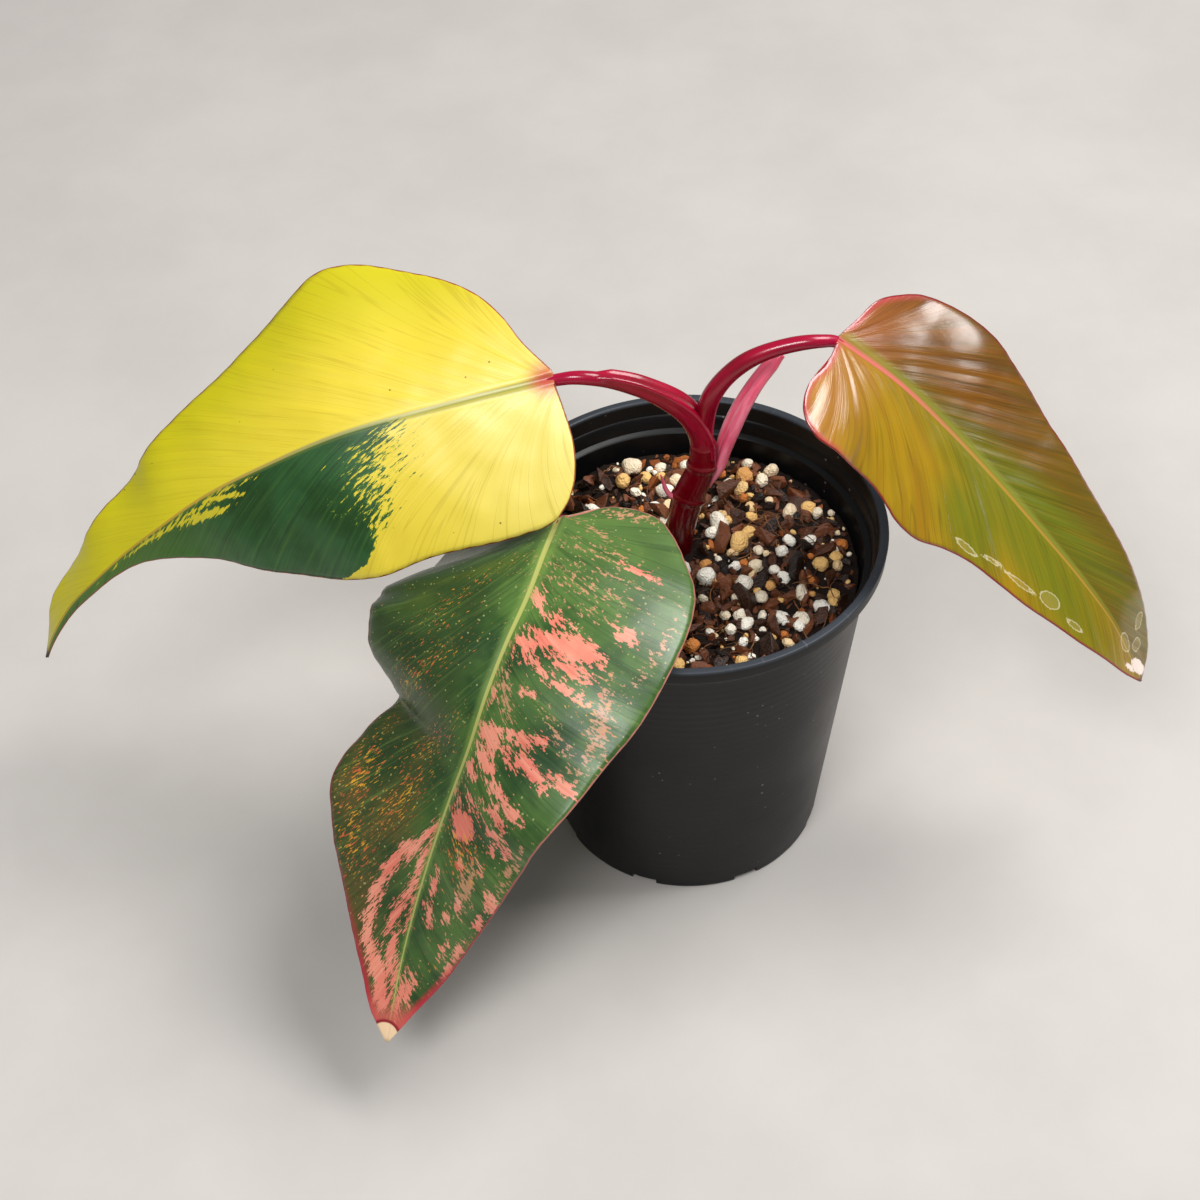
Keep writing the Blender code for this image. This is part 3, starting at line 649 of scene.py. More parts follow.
def leaf_fields(graph, spacing):
    """What the leaf materials share: places on the blade, fine veins at a spacing, and uneven tones."""
    flat = graph.attribute("flat")
    grain = graph.attribute("grain")
    along, out, _ = flat.parts()
    gap, rib, under = graph.attribute("edge").parts()
    clear = rib.ease(0.9, 2.2)
    course = grain.noise((0.5 / spacing, 0.012), 1)
    return SimpleNamespace(
        flat=flat, grain=grain, along=along, out=out, gap=gap, rib=rib, under=under, clear=clear,
        vein=abs(course - 0.5).ease(0.035, 0) * clear,
        streak=grain.noise((0.55, 0.03), 4, 0.6),
        band=grain.noise((0.16, 0.02), 2),
        cloud=flat.noise((0.05, 0.05), 3),
        grit=flat.noise((1.1, 1.1), 4, 0.65),
    )


def leaf_relief(m, weight):
    """The height that a leaf's bump is made from: streaks along the veins, thin grooves and a fine grit."""
    return ((m.streak + m.band * 1.6) * weight - m.vein * 0.12 + m.grit * 0.16) * m.clear


def specks(m, scale, size, chosen):
    """Scattered dots: cells of a scale in 1/mm, dots of a size in cells, and the share of them chosen."""
    distance, tone = m.flat.scaled(scale, scale).cells(1)
    return distance.ease(size, size * 0.6) * tone.parts()[0].ease(1 - chosen, 1.01 - chosen)


def yellow_leaf_material():
    graph = Graph("lemon and green leaf", Coat_Weight=0.25, Coat_Roughness=0.22)
    m = leaf_fields(graph, 0.9)
    sector, streaks, _ = graph.attribute("marks").parts()
    deep = (m.out.ease(6, 46) + m.along.ease(42, 140) * 1.1).ease(0, 1.4)
    lemon = graph.over(
        graph.mix(deep, (232, 208, 58), (196, 188, 0)),
        (m.along.ease(46, 0) * m.out.ease(16, -6) * 0.75, (242, 224, 116)),
        (m.band.ease(0.42, 0.66) * 0.15, (216, 196, 8)),
        (m.streak.ease(0.46, 0.74) * 0.14, (204, 180, 8)),
        (m.vein * 0.3, (176, 150, 12)),
    )
    torn = (m.grain.noise((0.5, 0.2), 5, 0.68) - 0.5) * 13
    lit = (streaks + torn * 0.35).ease(-0.15, 0.1)
    half_green = (sector + torn).ease(-0.5, 0.9)
    green = graph.over(
        graph.mix(m.cloud.ease(0.35, 0.65), (22, 64, 12), (40, 88, 40)),
        (m.along.ease(100, 150), (66, 106, 16)),
        (m.vein * 0.5, (14, 44, 12)),
        (m.streak.ease(0.46, 0.74) * 0.4, (72, 116, 44)),
        (half_green.ease(0.98, 0.4), (88, 128, 24)),
    )
    base = graph.over(
        lemon,
        ((sector + torn).ease(-0.12, 0.12) * (1 - lit), green),
        (m.rib.ease(0.62, 0.3) * 0.85, graph.mix(m.along.ease(50, 120), (176, 172, 100), (196, 158, 50))),
        (m.out.ease(0, -0.6) * m.rib.ease(1.3, 0.9) * 0.5, (96, 112, 44)),
        (m.flat.length().ease(8, 0.5) * 0.85, (196, 52, 62)),
        (m.gap.ease(0.5, 0.25), (146, 58, 34)),
        (m.along.ease(189, 191.5), (64, 40, 18)),
        (specks(m, 0.13, 0.055, 0.5) * 0.8, (104, 66, 14)),
        (m.under * 0.45, (222, 212, 112)),
    )
    return graph.finish(base, m.grit * 0.22 + 0.26, leaf_relief(m, 0.6), 0.3, 0.0003)


def green_leaf_material():
    graph = Graph("green and salmon leaf", Coat_Weight=0.2, Coat_Roughness=0.25)
    m = leaf_fields(graph, 1.4)
    pink, faint, orange = graph.attribute("marks").parts()
    lower = m.out.ease(2, 14)
    coarse = m.grain.noise((0.3, 0.13), 5, 0.66)
    fine = m.grain.noise((1.15, 0.42), 4, 0.66)
    torn = (coarse - 0.5) * 7 + (fine - 0.5) * 9
    haze = (faint * 0.8 + (fine - 0.56) * 16).ease(-0.4, 0.3)
    glow = (orange * 0.35 + (fine - 0.6) * 24).ease(0, 0.6)
    salmon = graph.over(
        graph.mix(m.cloud.ease(0.38, 0.62), (222, 118, 98), (232, 148, 122)),
        (m.streak.ease(0.46, 0.7) * 0.45, (240, 172, 146)),
        (m.vein * 0.4, (196, 96, 76)),
    )
    margin = graph.mix(m.along.ease(60, 130), (190, 120, 106), (158, 24, 44))
    dry_tip = graph.join(m.along - 167.4, m.out - 0.8).length()
    base = graph.over(
        graph.mix(m.cloud.ease(0.36, 0.64), (30, 66, 22), (74, 108, 44)),
        (m.along.ease(46, 0) * 0.6, (92, 124, 58)),
        (lower * 0.7, (40, 58, 22)),
        (lower * m.along.ease(60, 110) * m.cloud.ease(0.4, 0.62) * 0.65, (92, 72, 30)),
        (m.streak.ease(0.48, 0.76) * 0.45, (108, 136, 62)),
        (m.band.ease(0.5, 0.7) * 0.3, (24, 60, 26)),
        (m.vein * 0.4, (20, 50, 18)),
        (specks(m, 0.62, 0.22, 0.3) * 0.7, (168, 168, 104)),
        ((fine - 0.66).ease(0, 0.05) * 0.5, (190, 164, 100)),
        (haze * 0.75, (208, 146, 112)),
        ((pink + torn).ease(0, 0.3), salmon),
        (glow * 0.9, graph.mix(coarse.ease(0.45, 0.55), (206, 92, 52), (214, 156, 40))),
        (specks(m, 0.42, 0.12, 0.22) * lower * 0.8, (196, 96, 48)),
        (m.rib.ease(0.62, 0.34), (196, 188, 108)),
        (m.rib.ease(2.6, 0.9) * 0.4, (120, 150, 68)),
        (m.gap.ease(0.6, 0.3), margin),
        (m.along.ease(120, 158) * m.gap.ease(2.6, 0.5) * 0.85, (184, 28, 54)),
        (m.along.ease(154, 163) * 0.75, (208, 92, 84)),
        (dry_tip.ease(5.4, 4.6), (140, 20, 34)),
        (dry_tip.ease(4.3, 3.8), (240, 206, 166)),
        (m.under * 0.4, (140, 154, 96)),
    )
    return graph.finish(base, m.grit * 0.22 + 0.27, leaf_relief(m, 0.6), 0.3, 0.0003)


def olive_leaf_material():
    graph = Graph("bronze and olive leaf", Coat_Weight=0.7, Coat_Roughness=0.15)
    m = leaf_fields(graph, 1.5)
    drops, greener, milk = graph.attribute("marks").parts()
    drops = drops + (m.grit - 0.5) * 0.8
    tipward = m.along.ease(35, 95)
    mottle = m.band.ease(0.4, 0.62)
    bronze = graph.mix(tipward, graph.mix(mottle, (92, 54, 0), (116, 70, 0)), (98, 82, 0))
    gold = graph.mix(tipward * 0.5, graph.mix(mottle, (146, 110, 0), (160, 126, 0)), (160, 128, 0))
    base = graph.over(
        graph.mix(m.out.ease(-2, 2), bronze, gold),
        (greener.ease(-6, 5) * 0.8, (96, 112, 0)),
        (m.streak.ease(0.46, 0.7) * 0.22, (176, 112, 10)),
        (m.streak.ease(0.52, 0.34) * 0.22, (96, 88, 0)),
        (m.vein * 0.35, (82, 66, 0)),
        (m.along.ease(22, 0) * 0.35, (196, 110, 66)),
        (m.along.ease(24, 4) * m.gap.ease(2.6, 0.4) * 0.7, (196, 66, 80)),
        (m.rib.ease(0.75, 0.3), graph.mix(m.along.ease(10, 60), (206, 104, 96), (166, 128, 44))),
        # Painted sheen: a pale green stripe beside the midrib, on the far half only.
        (m.rib.ease(3, 1.2) * m.out.ease(0, -1) * 0.45, (150, 156, 60)),
        (m.gap.ease(0.7, 0.3), (140, 22, 30)),
        (drops.ease(0, 0.3) * 0.14, (214, 190, 120)),
        (abs(drops).ease(0.2, 0.05) * 0.5, (232, 220, 180)),
        ((milk + m.grit * 1.4).ease(0.6, 1), (244, 226, 214)),
        (m.along.ease(134, 136), (96, 14, 24)),
        (m.under * 0.4, (170, 116, 56)),
    )
    return graph.finish(base, m.grit * 0.16 + 0.14, leaf_relief(m, 1), 0.5, 0.0004)


def yellow_marks(along, out):
    """The green sector lies past an edge on the near half. Its field is -1 to 1 across the marbled band."""
    edge = np.array(SECTOR_EDGE, float)
    inner = np.clip(-out, 0, 60)
    start = np.interp(inner, edge[:, 0], edge[:, 1])
    end = np.interp(inner, edge[:, 0], edge[:, 2])
    sector = np.clip((along - (start + end) / 2) / np.maximum((end - start) / 2, 0.3), -6, 6)
    far = ease(out, 0, 0.5)
    return -6 * far + sector * (1 - far), patch_field(YELLOW_STREAKS, along, out), 0 * along


def green_marks(along, out):
    return [patch_field(patches, along, out) for patches in (GREEN_PINK, GREEN_FAINT, GREEN_ORANGE)]


def olive_marks(along, out):
    return [patch_field(patches, along, out) for patches in (OLIVE_DROPS, OLIVE_GREEN, OLIVE_TIP)]


def make_leaves():
    for node, leaf, marks, finish, slot in (
        ("leaf_yellow", YELLOW_LEAF, yellow_marks, yellow_leaf_material, "blade_yellow"),
        ("leaf_green", GREEN_LEAF, green_marks, green_leaf_material, "blade_green"),
        ("leaf_olive", OLIVE_LEAF, olive_marks, olive_leaf_material, "blade_olive"),
    ):
        name = node + "_blade"
        add_piece(name, leaf_mesh(name, leaf, marks), finish(), slot, node)


def tube(name, path, radii, side, sides, steps, shape=None):
    """A stalk along a path. shape gives the rise of its skin at a share of its length and an angle."""
    curve = Curve(path)
    share = np.linspace(0, 1, steps + 1)
    along = unit(curve.at((share + 0.01) * curve.length) - curve.at((share - 0.01) * curve.length))
    top = unit(np.cross(np.array(side, float), along))
    angles = 2 * np.pi * np.arange(sides) / sides
    reach = np.repeat(between(radii, share), sides, axis=1)
    if shape is not None:
        reach = reach + np.array([[shape(s, a) for a in angles] for s in share])
    distance = share * curve.length
    mesh = mesh_of(name, *tube_skin(curve.at(distance), np.cross(along, top), top, reach))
    spot = [np.repeat(distance, sides), np.tile(angles, steps + 1), np.repeat(share, sides)]
    write_vectors(mesh, "stalk", np.stack(spot, -1))
    return mesh


def to_foot(path, leaf):
    """A petiole's path carried on under the foot of its blade."""
    blade = Blade(leaf)
    centre, forward, _, up = (v[0] for v in blade.frame(np.array([0.0])))
    near = np.array([4.0])
    face = unit(blade.normal(RIGHT_HALF, near, near)[0] + blade.normal(LEFT_HALF, near, near)[0])
    foot = centre + forward * leaf["right"][0][0] - (up + face) * MIDRIB_RADIUS * 0.5
    ahead = blade.frame(np.array([6.0]))[0][0] - face * MIDRIB_RADIUS * 1.3
    return (*path, tuple(foot), tuple(ahead))


def sheath_wings(share, angle):
    """Two lips along the petiole's upper face, which end at 0.7 of its length."""
    length = max(0.0, min(1.0, (0.70 - share) / 0.06))
    height = length * (1.1 + 1.3 * max(0.0, 0.6 - share))
    return sum(height * math.exp(-(((angle - lip * math.pi) / 0.34) ** 2)) for lip in (0.28, 0.72))


def trough(share, angle):
    """A flattened stalk with a groove along its upper face."""
    flat = -0.45 * between(SHEATH_RADII, np.array([share]))[0, 0] * math.sin(angle) ** 2
    return flat - 0.5 * math.exp(-(((angle - math.pi / 2) / 0.4) ** 2))


def stem_shape(share, angle):
    """Faint ribs, and at each scar a raised ring with a notch over it."""
    bottom, end = STEM_PATH[0][2], STEM_PATH[-1][2]
    rise = 0.03 * math.sin(angle * 5 + share * 9)
    for scar in RING_SCARS:
        off = bottom + share * (end - bottom) - scar - 1.2 * math.cos(angle)
        rise += 0.5 * math.exp(-((off / 1.3) ** 2)) - 0.22 * math.exp(-(((off - 1) / 0.3) ** 2))
    return rise


def stalk_material(name, dark, bright, end, roughness=0.17):
    """Glossy flesh with a soft streak and a change of colour along the stalk."""
    graph = Graph(name, Specular_IOR_Level=0.4, Coat_Weight=0.3, Coat_Roughness=0.12)
    length, angle, share = graph.attribute("stalk").parts()
    around = graph.join(length * 0.02, graph.math("COSINE", angle), graph.math("SINE", angle))
    streak = around.noise((1, 4, 4))
    cloud = around.noise((4, 1.2, 1.2))
    base = graph.over(
        graph.mix(cloud.ease(0.35, 0.65), dark, bright),
        (share.ease(0.5, 1) * 0.8, end),
        (streak.ease(0.52, 0.72) * 0.15, end),
    )
    return graph.finish(base, cloud * 0.14 + roughness, streak + cloud * 0.6, 0.05, 0.0002)


def make_stalks():
    crimson = stalk_material("crimson petiole", (130, 0, 28), (158, 0, 42), (172, 8, 58))
    wine = stalk_material("wine red stem", (82, 0, 8), (100, 0, 13), (128, 0, 22))
    pink = stalk_material("pink sheath", (230, 84, 116), (250, 142, 162), (224, 78, 108), 0.23)
    yellow = to_foot(YELLOW_PETIOLE, YELLOW_LEAF)
    olive = to_foot(OLIVE_PETIOLE, OLIVE_LEAF)
    green = to_foot(GREEN_PETIOLE, GREEN_LEAF)

    def add(name, finish, slot, replaced, *form):
        add_piece(name, tube(name, *form), finish, slot, *replaced)

    add("stem_flesh", wine, "stalk", ["stem"], STEM_PATH, STEM_RADII, FRONT, 56, 170, stem_shape)
    add("stem_shoot", pink, "stalk", [], SHOOT, SHOOT_RADII, BACK, 16, 24)
    add("petiole_yellow_flesh", crimson, "stalk", ["petiole_yellow"],
        yellow, YELLOW_PETIOLE_RADII, BACK, 60, 120, sheath_wings)
    add("petiole_olive_flesh", crimson, "stalk", ["petiole_olive"],
        olive, OLIVE_PETIOLE_RADII, FRONT, 40, 110)
    add("petiole_green_flesh", crimson, "stalk", ["petiole_green"],
        green, GREEN_PETIOLE_RADII, (0.45, -0.9, 0), 36, 90)
    add("sheath_leaf_flesh", pink, "sheath", ["sheath_leaf"],
        SHEATH_LEAF, SHEATH_RADII, (0.35, -0.94, 0), 44, 90, trough)


def wall_radius(height):
    return BASE_RADIUS + (SHOULDER_RADIUS - BASE_RADIUS) * height / (POT_HEIGHT - SHOULDER_DROP)


def pot_profile():
    """The pot's section from the middle of its base, over the rim, to the middle of its inner floor."""
    top = POT_HEIGHT
    points = [(0, 0), (BASE_RADIUS - 0.9, 0), (BASE_RADIUS - 0.3, 0.15), (BASE_RADIUS + 0.1, 0.6),
              (wall_radius(1.4), 1.4), (wall_radius(4.0), 4.0)]
    for height in range(7, 107):
        ridge = 0.035 * math.exp(-(((height - 96) / 12) ** 2)) + 0.008
        points.append((wall_radius(height) + ridge * math.sin(height * 2.1), height))
    band = top - RIM_BAND
    points += [(SHOULDER_RADIUS, top - SHOULDER_DROP), (SHOULDER_RADIUS + 0.4, top - SHOULDER_DROP + 1.5),
               (RIM_RADIUS - 4.4, band - 1.2), (RIM_RADIUS - 3.6, band - 0.4), (RIM_RADIUS - 1.0, band),
               (RIM_RADIUS - 0.7, band + 0.3)]
    quarter = [math.pi * i / 12 for i in range(7)]
    rim = RIM_RADIUS - RIM_INSET - RIM_ROUND
    points += [(rim + RIM_ROUND * math.cos(a), top - RIM_ROUND + RIM_ROUND * math.sin(a)) for a in quarter]
    lip = RIM_RADIUS - RIM_LIP - 0.3
    points += [(lip + LIP_ROUND * (1 - math.sin(a)), top - LIP_ROUND * (1 - math.cos(a))) for a in quarter]
    ledge = top - LEDGE_DROP
    inner = wall_radius(ledge) - WALL
    corner = FLOOR + FLOOR_CORNER
    return points + [
        (lip, top - 1.6), (RIM_RADIUS - 4.5, ledge + 1.6), (RIM_RADIUS - 4.9, ledge + 1.0),
        (inner + 0.5, ledge + 0.5), (inner, ledge), (wall_radius(corner) - WALL, corner),
        (BASE_RADIUS - WALL - FLOOR_CORNER, FLOOR), (0, FLOOR),
    ]


def pot_material():
    """Black plastic with a painted blue-grey reflection on the top of the rim, scuffs there and a little
    dust.
    """
    graph = Graph("black nursery plastic", Specular_IOR_Level=0.24)
    place = graph.place()
    x, y, z = place.parts()
    cloud = place.noise(28, 4)
    top = POT_HEIGHT * 0.001
    rim = z.ease(top - 0.0012, top - 0.0002)
    scuffs = graph.join(graph.math("ARCTAN2", y, x) * 60, z * 300).noise(1, 4, 0.7)
    dust = place.cells(260)[0] + place.noise(40, 2) * 0.5
    base = graph.over(
        graph.mix(cloud, (9, 9, 10), (17, 17, 19)),
        # Painted reflection: the top of the rim is coloured a paler blue-grey, as if lit from above.
        (rim * 0.85, (58, 63, 70)),
        (scuffs.ease(0.62, 0.78) * (rim * 0.6), (150, 154, 160)),
        (dust.ease(0.3, 0.24) * 0.7, (120, 116, 110)),
    )
    return graph.finish(base, cloud * 0.3 + 0.26, place.noise(900, 2), 0.12, 0.0002)


def make_pot():
    """The pot's shell, with its drain slots cut by boxes that reach past its skin."""
    profile = pot_profile()
    rings = [[(x, y, height) for x, y in circle(radius, POT_SEGMENTS)] for radius, height in profile[1:-1]]
    skin = closed_rings((0, 0, profile[0][1]), rings, (0, 0, profile[-1][1]))
    piece = add_piece("pot_shell", mesh_of("pot_shell", *skin), pot_material(), "pot_plastic", "pot")
    slots = bmesh.new()
    for i in range(DRAIN_SLOTS):
        turn = Matrix.Rotation(2 * math.pi * (i + 0.5) / DRAIN_SLOTS, 4, "Z")
        middle = (BASE_RADIUS - DRAIN_DEPTH / 2 + CUT_SPARE, 0, DRAIN_HEIGHT / 2 - CUT_SPARE)
        size = (DRAIN_DEPTH + 2 * CUT_SPARE, DRAIN_WIDTH, DRAIN_HEIGHT + 2 * CUT_SPARE)
        place = turn @ Matrix.Translation(mm(middle)) @ Matrix.Diagonal((*mm(size), 1))
        bmesh.ops.create_cube(slots, size=1.0, matrix=place)
    mesh = bpy.data.meshes.new("drain_slots")
    slots.to_mesh(mesh)
    slots.free()
    cutter = add_object("drain_slots", mesh)
    piece.modifiers.new("slots", "BOOLEAN").object = cutter
    made = bpy.data.meshes.new_from_object(piece.evaluated_get(bpy.context.evaluated_depsgraph_get()))
    piece.modifiers.clear()
    piece.data = made
    bpy.data.objects.remove(cutter)
    made.shade_smooth()
    made.set_sharp_from_angle(angle=math.radians(38))


def bed_height(x, y):
    """The soil's lumps with its crumbs, hollowed a little so that grains can fill it."""
    broad = noise.noise(Vector((x, y, 3.0)) / LUMP_SIZE)
    fine = noise.noise(Vector((x, y, 40.0)) / (LUMP_SIZE * 0.38))
    edge = max(0.0, math.hypot(x, y) / SOIL_EDGE_RADIUS - SOIL_EDGE_START) * SOIL_EDGE_DROP
    crumbs = noise.fractal(Vector((x, y, 8.0)) / CRUMB_SIZE, 1.0, 2.1, 4)
    return SOIL_LEVEL + SOIL_RELIEF * (broad + 0.5 * fine) - edge - BED_SINK + CRUMB_HEIGHT * crumbs


def soil_material(name, dark, light, roughness=0.9, shine=0.25):
    graph = Graph(name, Roughness=roughness, Specular_IOR_Level=shine)
    place = graph.place()
    tint = graph.attribute("tint").parts()[0]
    fibre = place.noise((400, 1300, 900), 4, 0.65)
    cloud = place.noise(300, 4)
    mixed = graph.mix((tint * 0.75 + fibre * 0.5).ease(0.2, 1), dark, light)
    base = graph.mix(cloud.ease(0.5, 0.75) * 0.4, mixed, dark)
    return graph.finish(base, None, fibre + cloud, 0.9, 0.0008)


def pumice_material():
    graph = Graph("cream pumice", Roughness=0.85, Specular_IOR_Level=0.3)
    place = graph.place()
    tint = graph.attribute("tint").parts()[0]
    cloud = place.noise(420, 4, 0.6)
    base = graph.over(
        graph.mix(tint.ease(0.15, 0.6), (255, 250, 236), (240, 220, 186)),
        (tint.ease(0.45, 0.7), (238, 192, 120)),
        (tint.ease(0.92, 0.96), (200, 118, 54)),
        (cloud.ease(0.54, 0.8) * 0.4, (160, 118, 80)),
    )
    return graph.finish(base, None, place.cells(1500)[0] + cloud, 0.8, 0.0005)


def make_bed():
    """The bed of soil: a fine heightfield closed down to the pot's floor."""
    bottom = FLOOR + FIT_GAP
    reach = wall_radius(SOIL_LEVEL - SOIL_SINK) - WALL - 2 * FIT_GAP
    foot = wall_radius(bottom) - WALL - BED_FOOT_INSET
    rings = [[(x, y, bottom) for x, y in circle(foot, BED_SEGMENTS)]]
    for i in range(BED_RINGS, 0, -1):
        rings.append([(x, y, bed_height(x, y)) for x, y in circle(reach * i / BED_RINGS, BED_SEGMENTS)])
    points, faces = closed_rings((0, 0, bottom), rings, (0, 0, bed_height(0, 0)))
    mesh = mesh_of("soil_bed", points, faces)
    write_vectors(mesh, "tint", [(0.3, 0, 0)] * len(points))
    # The bed is near black: partly the soil's own dark colour, partly painted shade for the deep gaps
    # between the grains.
    add_piece("soil_bed", mesh, soil_material("dark soil and painted gap shade", (10, 6, 4), (52, 32, 22)), "soil_mix", "soil")


class Heap:
    """Many small solids gathered in one mesh, each with its own tint."""

    def __init__(self):
        self.points = []
        self.faces = []
        self.tints = []
        self.count = 0

    def add(self, points, faces, tint):
        self.points.append(points)
        self.faces.extend([tuple(k + self.count for k in face) for face in faces])
        self.tints.append(np.tile((tint, 0.0, 0.0), (len(points), 1)))
        self.count += len(points)

    def piece(self, name, finish, smooth=True):
        mesh = mesh_of(name, np.concatenate(self.points), self.faces)
        if not smooth:
            mesh.set_sharp_from_angle(angle=math.radians(25))
        write_vectors(mesh, "tint", np.concatenate(self.tints))
        add_piece(name, mesh, finish, "soil_mix")


def points_and_faces(bm):
    """What a bmesh holds. The bmesh is freed."""
    bm.verts.index_update()
    points = np.array([v.co for v in bm.verts])
    faces = [tuple(v.index for v in f.verts) for f in bm.faces]
    bm.free()
    return points, faces


def turn_matrix(draw, tilt):
    spin = Matrix.Rotation(draw.uniform(0, 2 * math.pi), 3, "Z")
    lean = Matrix.Rotation(draw.uniform(-tilt, tilt), 3, "Y")
    roll = Matrix.Rotation(draw.uniform(0, 2 * math.pi), 3, "X")
    return np.array(spin @ lean @ roll)


def stem_gap(x, y):
    return math.hypot(x - STEM_FOOT[0], y - STEM_FOOT[1]) - STEM_RADIUS


def scatter(draw, count, reach, taken, spread):
    """Seeded places on the soil, clear of each other and of the stem. taken grows by each place."""
    found = []
    tries = 0
    while len(found) < count and tries < count * 60:
        tries += 1
        radius = (GRAIN_ZONE - reach) * math.sqrt(draw.random())
        angle = draw.uniform(0, 2 * math.pi)
        x, y = radius * math.cos(angle), radius * math.sin(angle)
        if stem_gap(x, y) < reach * 0.8 + 0.2:
            continue
        if any(math.hypot(x - a, y - b) < spread * (reach + c) for a, b, c in taken):
            continue
        taken.append((x, y, reach))
        found.append((x, y))
    return found


def make_pumice():
    """The pale grains. It returns their places and radii."""
    draw = random.Random(SEED)
    bm = bmesh.new()
    bmesh.ops.create_icosphere(bm, subdivisions=3, radius=1.0)
    points, faces = points_and_faces(bm)
    heap = Heap()
    taken = []
    for size, count in PUMICE_SIZES:
        for x, y in scatter(draw, count, size, taken, 0.75):
            if noise.noise(Vector((x, y, 70.0)) / 16.0) < -0.25 and draw.random() < 0.7:
                continue
            radius = size * draw.uniform(0.8, 1.15)
            offset = Vector((draw.uniform(0, 90), draw.uniform(0, 90), draw.uniform(0, 90)))
            bumps = np.array([[0.22 * noise.noise(Vector(p) * 1.3 + offset)
                               + 0.08 * noise.noise(Vector(p) * 3.6 + offset)] for p in points])
            shape = points * (1 + bumps)
            shape = shape * (radius * draw.uniform(0.95, 1.35), radius, radius * draw.uniform(0.75, 0.95))
            shape = shape @ turn_matrix(draw, 0.6).T
            z = bed_height(x, y) + radius * draw.uniform(0.2, 0.75)
            heap.add(shape + (x, y, z), faces, draw.random())
    heap.piece("soil_pumice", pumice_material())
    return taken


def chunk(draw, long, wide, tall):
    """One angular chip: the hull of a few points in a box."""
    bm = bmesh.new()
    for _ in range(15):
        bm.verts.new((draw.uniform(-long, long), draw.uniform(-wide, wide), draw.uniform(-tall, tall)))
    hull = bmesh.ops.convex_hull(bm, input=bm.verts)
    unused = [v for v in hull["geom_interior"] if isinstance(v, bmesh.types.BMVert)]
    bmesh.ops.delete(bm, geom=unused, context="VERTS")
    bevel = min(long, wide, tall) * 0.12
    bmesh.ops.bevel(bm, geom=bm.edges, offset=bevel, segments=1, affect="EDGES", clamp_overlap=True)
    return points_and_faces(bm)


def make_bark(taken):
    """Dark bark and a few orange chips, which lie closer to the small grains than to the large ones."""
    draw = random.Random(SEED + 1)
    heap = Heap()
    chips = Heap()
    spots = [(x, y, 0.6 * reach) for x, y, reach in taken if reach > 1]
    for size, count in BARK_SIZES:
        for x, y in scatter(draw, count, size, spots if size > 1.5 else [], 0.42):
            long = size * draw.uniform(0.8, 1.25)
            points, faces = chunk(draw, long, long * draw.uniform(0.45, 0.8), long * draw.uniform(0.3, 0.6))
            points = points @ turn_matrix(draw, 0.7).T
            z = bed_height(x, y) + long * draw.uniform(-0.05, 0.35)
            heap_for = chips if draw.random() < CHIP_SHARE and size < 4 else heap
            heap_for.add(points + (x, y, z), faces, draw.random())
    bark = soil_material("dark bark", (10, 6, 4), (120, 66, 36), 0.38, 0.45)
    heap.piece("soil_bark", bark, smooth=False)
    orange = soil_material("orange chips", (112, 54, 22), (182, 106, 52), 0.6)
    chips.piece("soil_chips", orange, smooth=False)


def make_fibres():
    draw = random.Random(SEED + 2)
    heap = Heap()
    taper = np.linspace(1, 0.4, FIBRE_STEPS + 1)[:, None]
    for x, y in scatter(draw, FIBRES, 1.0, [], 0.3):
        step = draw.uniform(5, 15) / FIBRE_STEPS
        heading = draw.uniform(0, 2 * math.pi)
        radius = draw.uniform(0.11, 0.26)
        path = []
        for i in range(FIBRE_STEPS + 1):
            heading += draw.uniform(-0.45, 0.45)
            arch = 1.6 * math.sin(math.pi * i / FIBRE_STEPS) * draw.uniform(0.4, 1)
            path.append((x, y, bed_height(x, y) + 0.6 + arch))
            x += math.cos(heading) * step
            y += math.sin(heading) * step
        if math.hypot(x, y) > GRAIN_ZONE - 1 or stem_gap(x, y) < 0:
            continue
        centre = np.array(path)
        along = unit(np.gradient(centre, axis=0))
        side = unit(np.cross(along, (0.0, 0.0, 1.0)))
        reach = np.repeat(radius * taper, FIBRE_SIDES, axis=1)
        heap.add(*tube_skin(centre, side, np.cross(side, along), reach), draw.random())
    heap.piece("soil_fibres", soil_material("root fibres", (70, 40, 24), (150, 104, 64), 0.8))


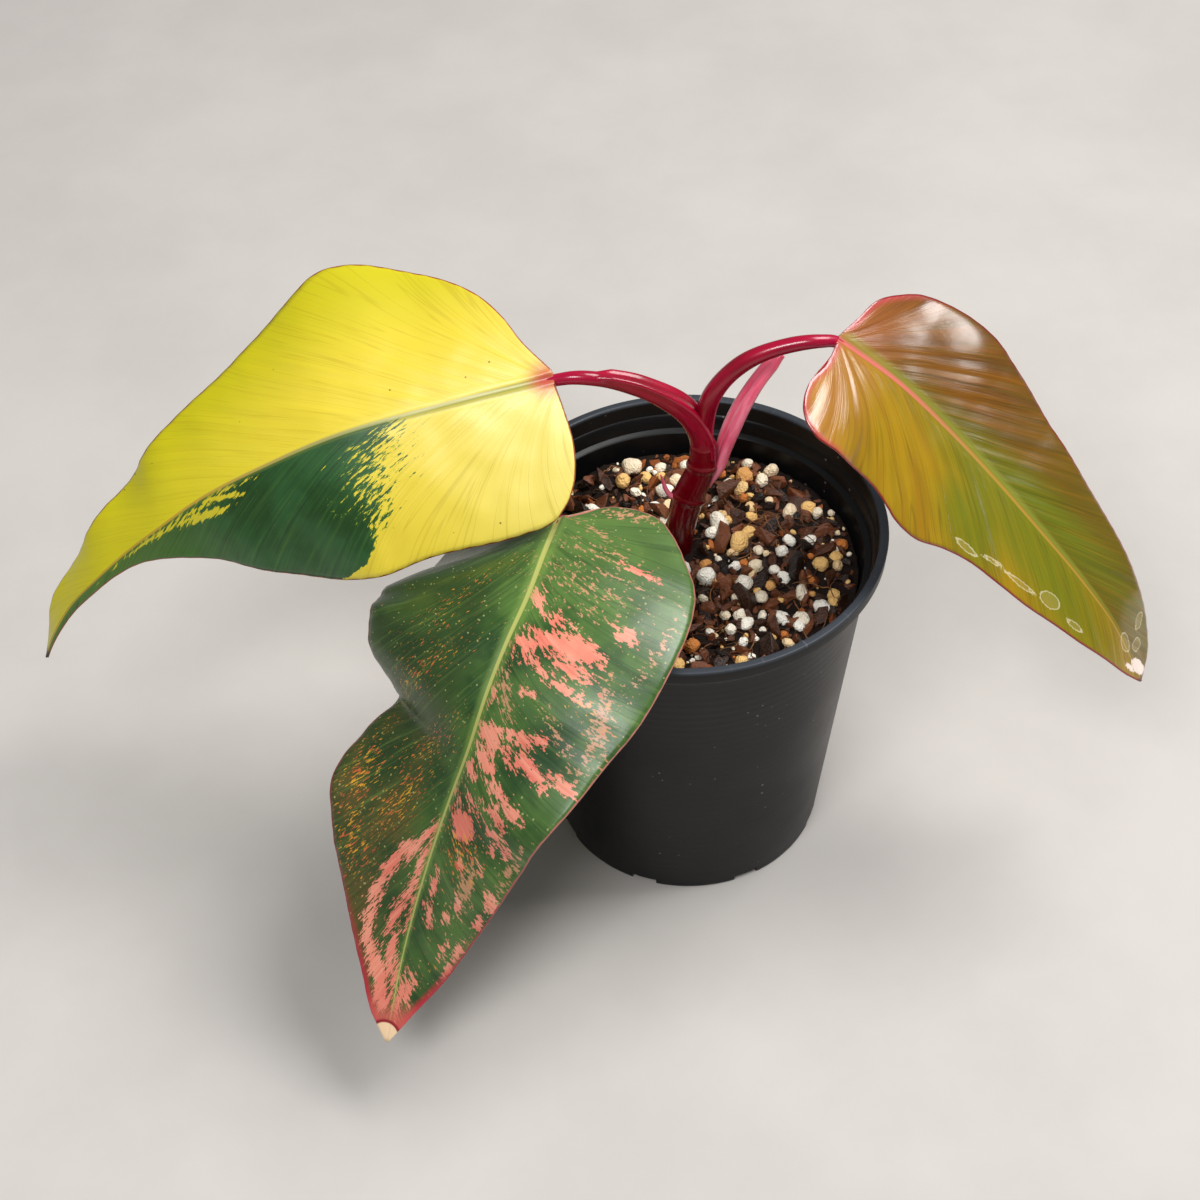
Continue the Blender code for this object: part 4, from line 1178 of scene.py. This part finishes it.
def make_floor():
    reach = 3000
    corners = [(-reach, -reach, 0), (reach, -reach, 0), (reach, reach, 0), (-reach, reach, 0)]
    mesh = mesh_of("floor", corners, [(0, 1, 2, 3)])
    floor = add_object("floor", mesh)
    graph = Graph("pale floor", Roughness=0.8, Specular_IOR_Level=0.2)
    place = graph.place()
    base = graph.mix(place.noise(9, 5, 0.6).ease(0.3, 0.7), (190, 185, 180), (198, 193, 188))
    mesh.materials.append(graph.finish(base, None, place.noise(220, 3), 0.1, 0.0005))


def area_light(name, place, size, power, tint):
    """A soft light that faces the plant. Its place is in metres and its power in watts."""
    light = bpy.data.lights.new(name, "AREA")
    light.shape = "RECTANGLE"
    light.size, light.size_y = size
    light.energy = power
    light.color = tint
    made = add_object(name, light)
    made.location = place
    toward_plant = Vector((0, 0, 0.12)) - Vector(place)
    made.rotation_euler = toward_plant.to_track_quat("-Z", "Y").to_euler()


def make_studio():
    world = bpy.data.worlds.new("soft studio")
    world.use_nodes = True
    background = world.node_tree.nodes["Background"]
    background.inputs["Color"].default_value = (0.94, 0.97, 1.0, 1)
    background.inputs["Strength"].default_value = 0.2
    scene = bpy.context.scene
    scene.world = world
    scene.view_settings.view_transform = "Standard"
    scene.view_settings.look = "None"
    area_light("key", (0.74, 0.2, 1.55), (0.9, 0.9), 30.0, (1.0, 0.99, 0.97))
    area_light("front", (-0.35, -0.95, 1.45), (0.6, 0.4), 15.0, (0.98, 0.99, 1.0))


def make_camera():
    """The camera looks down at the plant from its front, at the angle of the photograph."""
    below_level = math.radians(45.2)
    roll = math.radians(-2.7)
    data = bpy.data.cameras.new("camera")
    data.sensor_width = 36.0
    data.lens = 69.0
    data.clip_start = 0.01
    camera = add_object("camera", data)
    turn = Matrix.Rotation(math.pi / 2 - below_level, 4, "X") @ Matrix.Rotation(roll, 4, "Z")
    camera.matrix_world = Matrix.Translation((-0.02595, -0.4903, 0.5823)) @ turn
    bpy.context.scene.camera = camera


make_camera()
make_studio()
make_floor()
make_pot()
make_bed()
make_bark(make_pumice())
make_fibres()
make_stalks()
make_leaves()
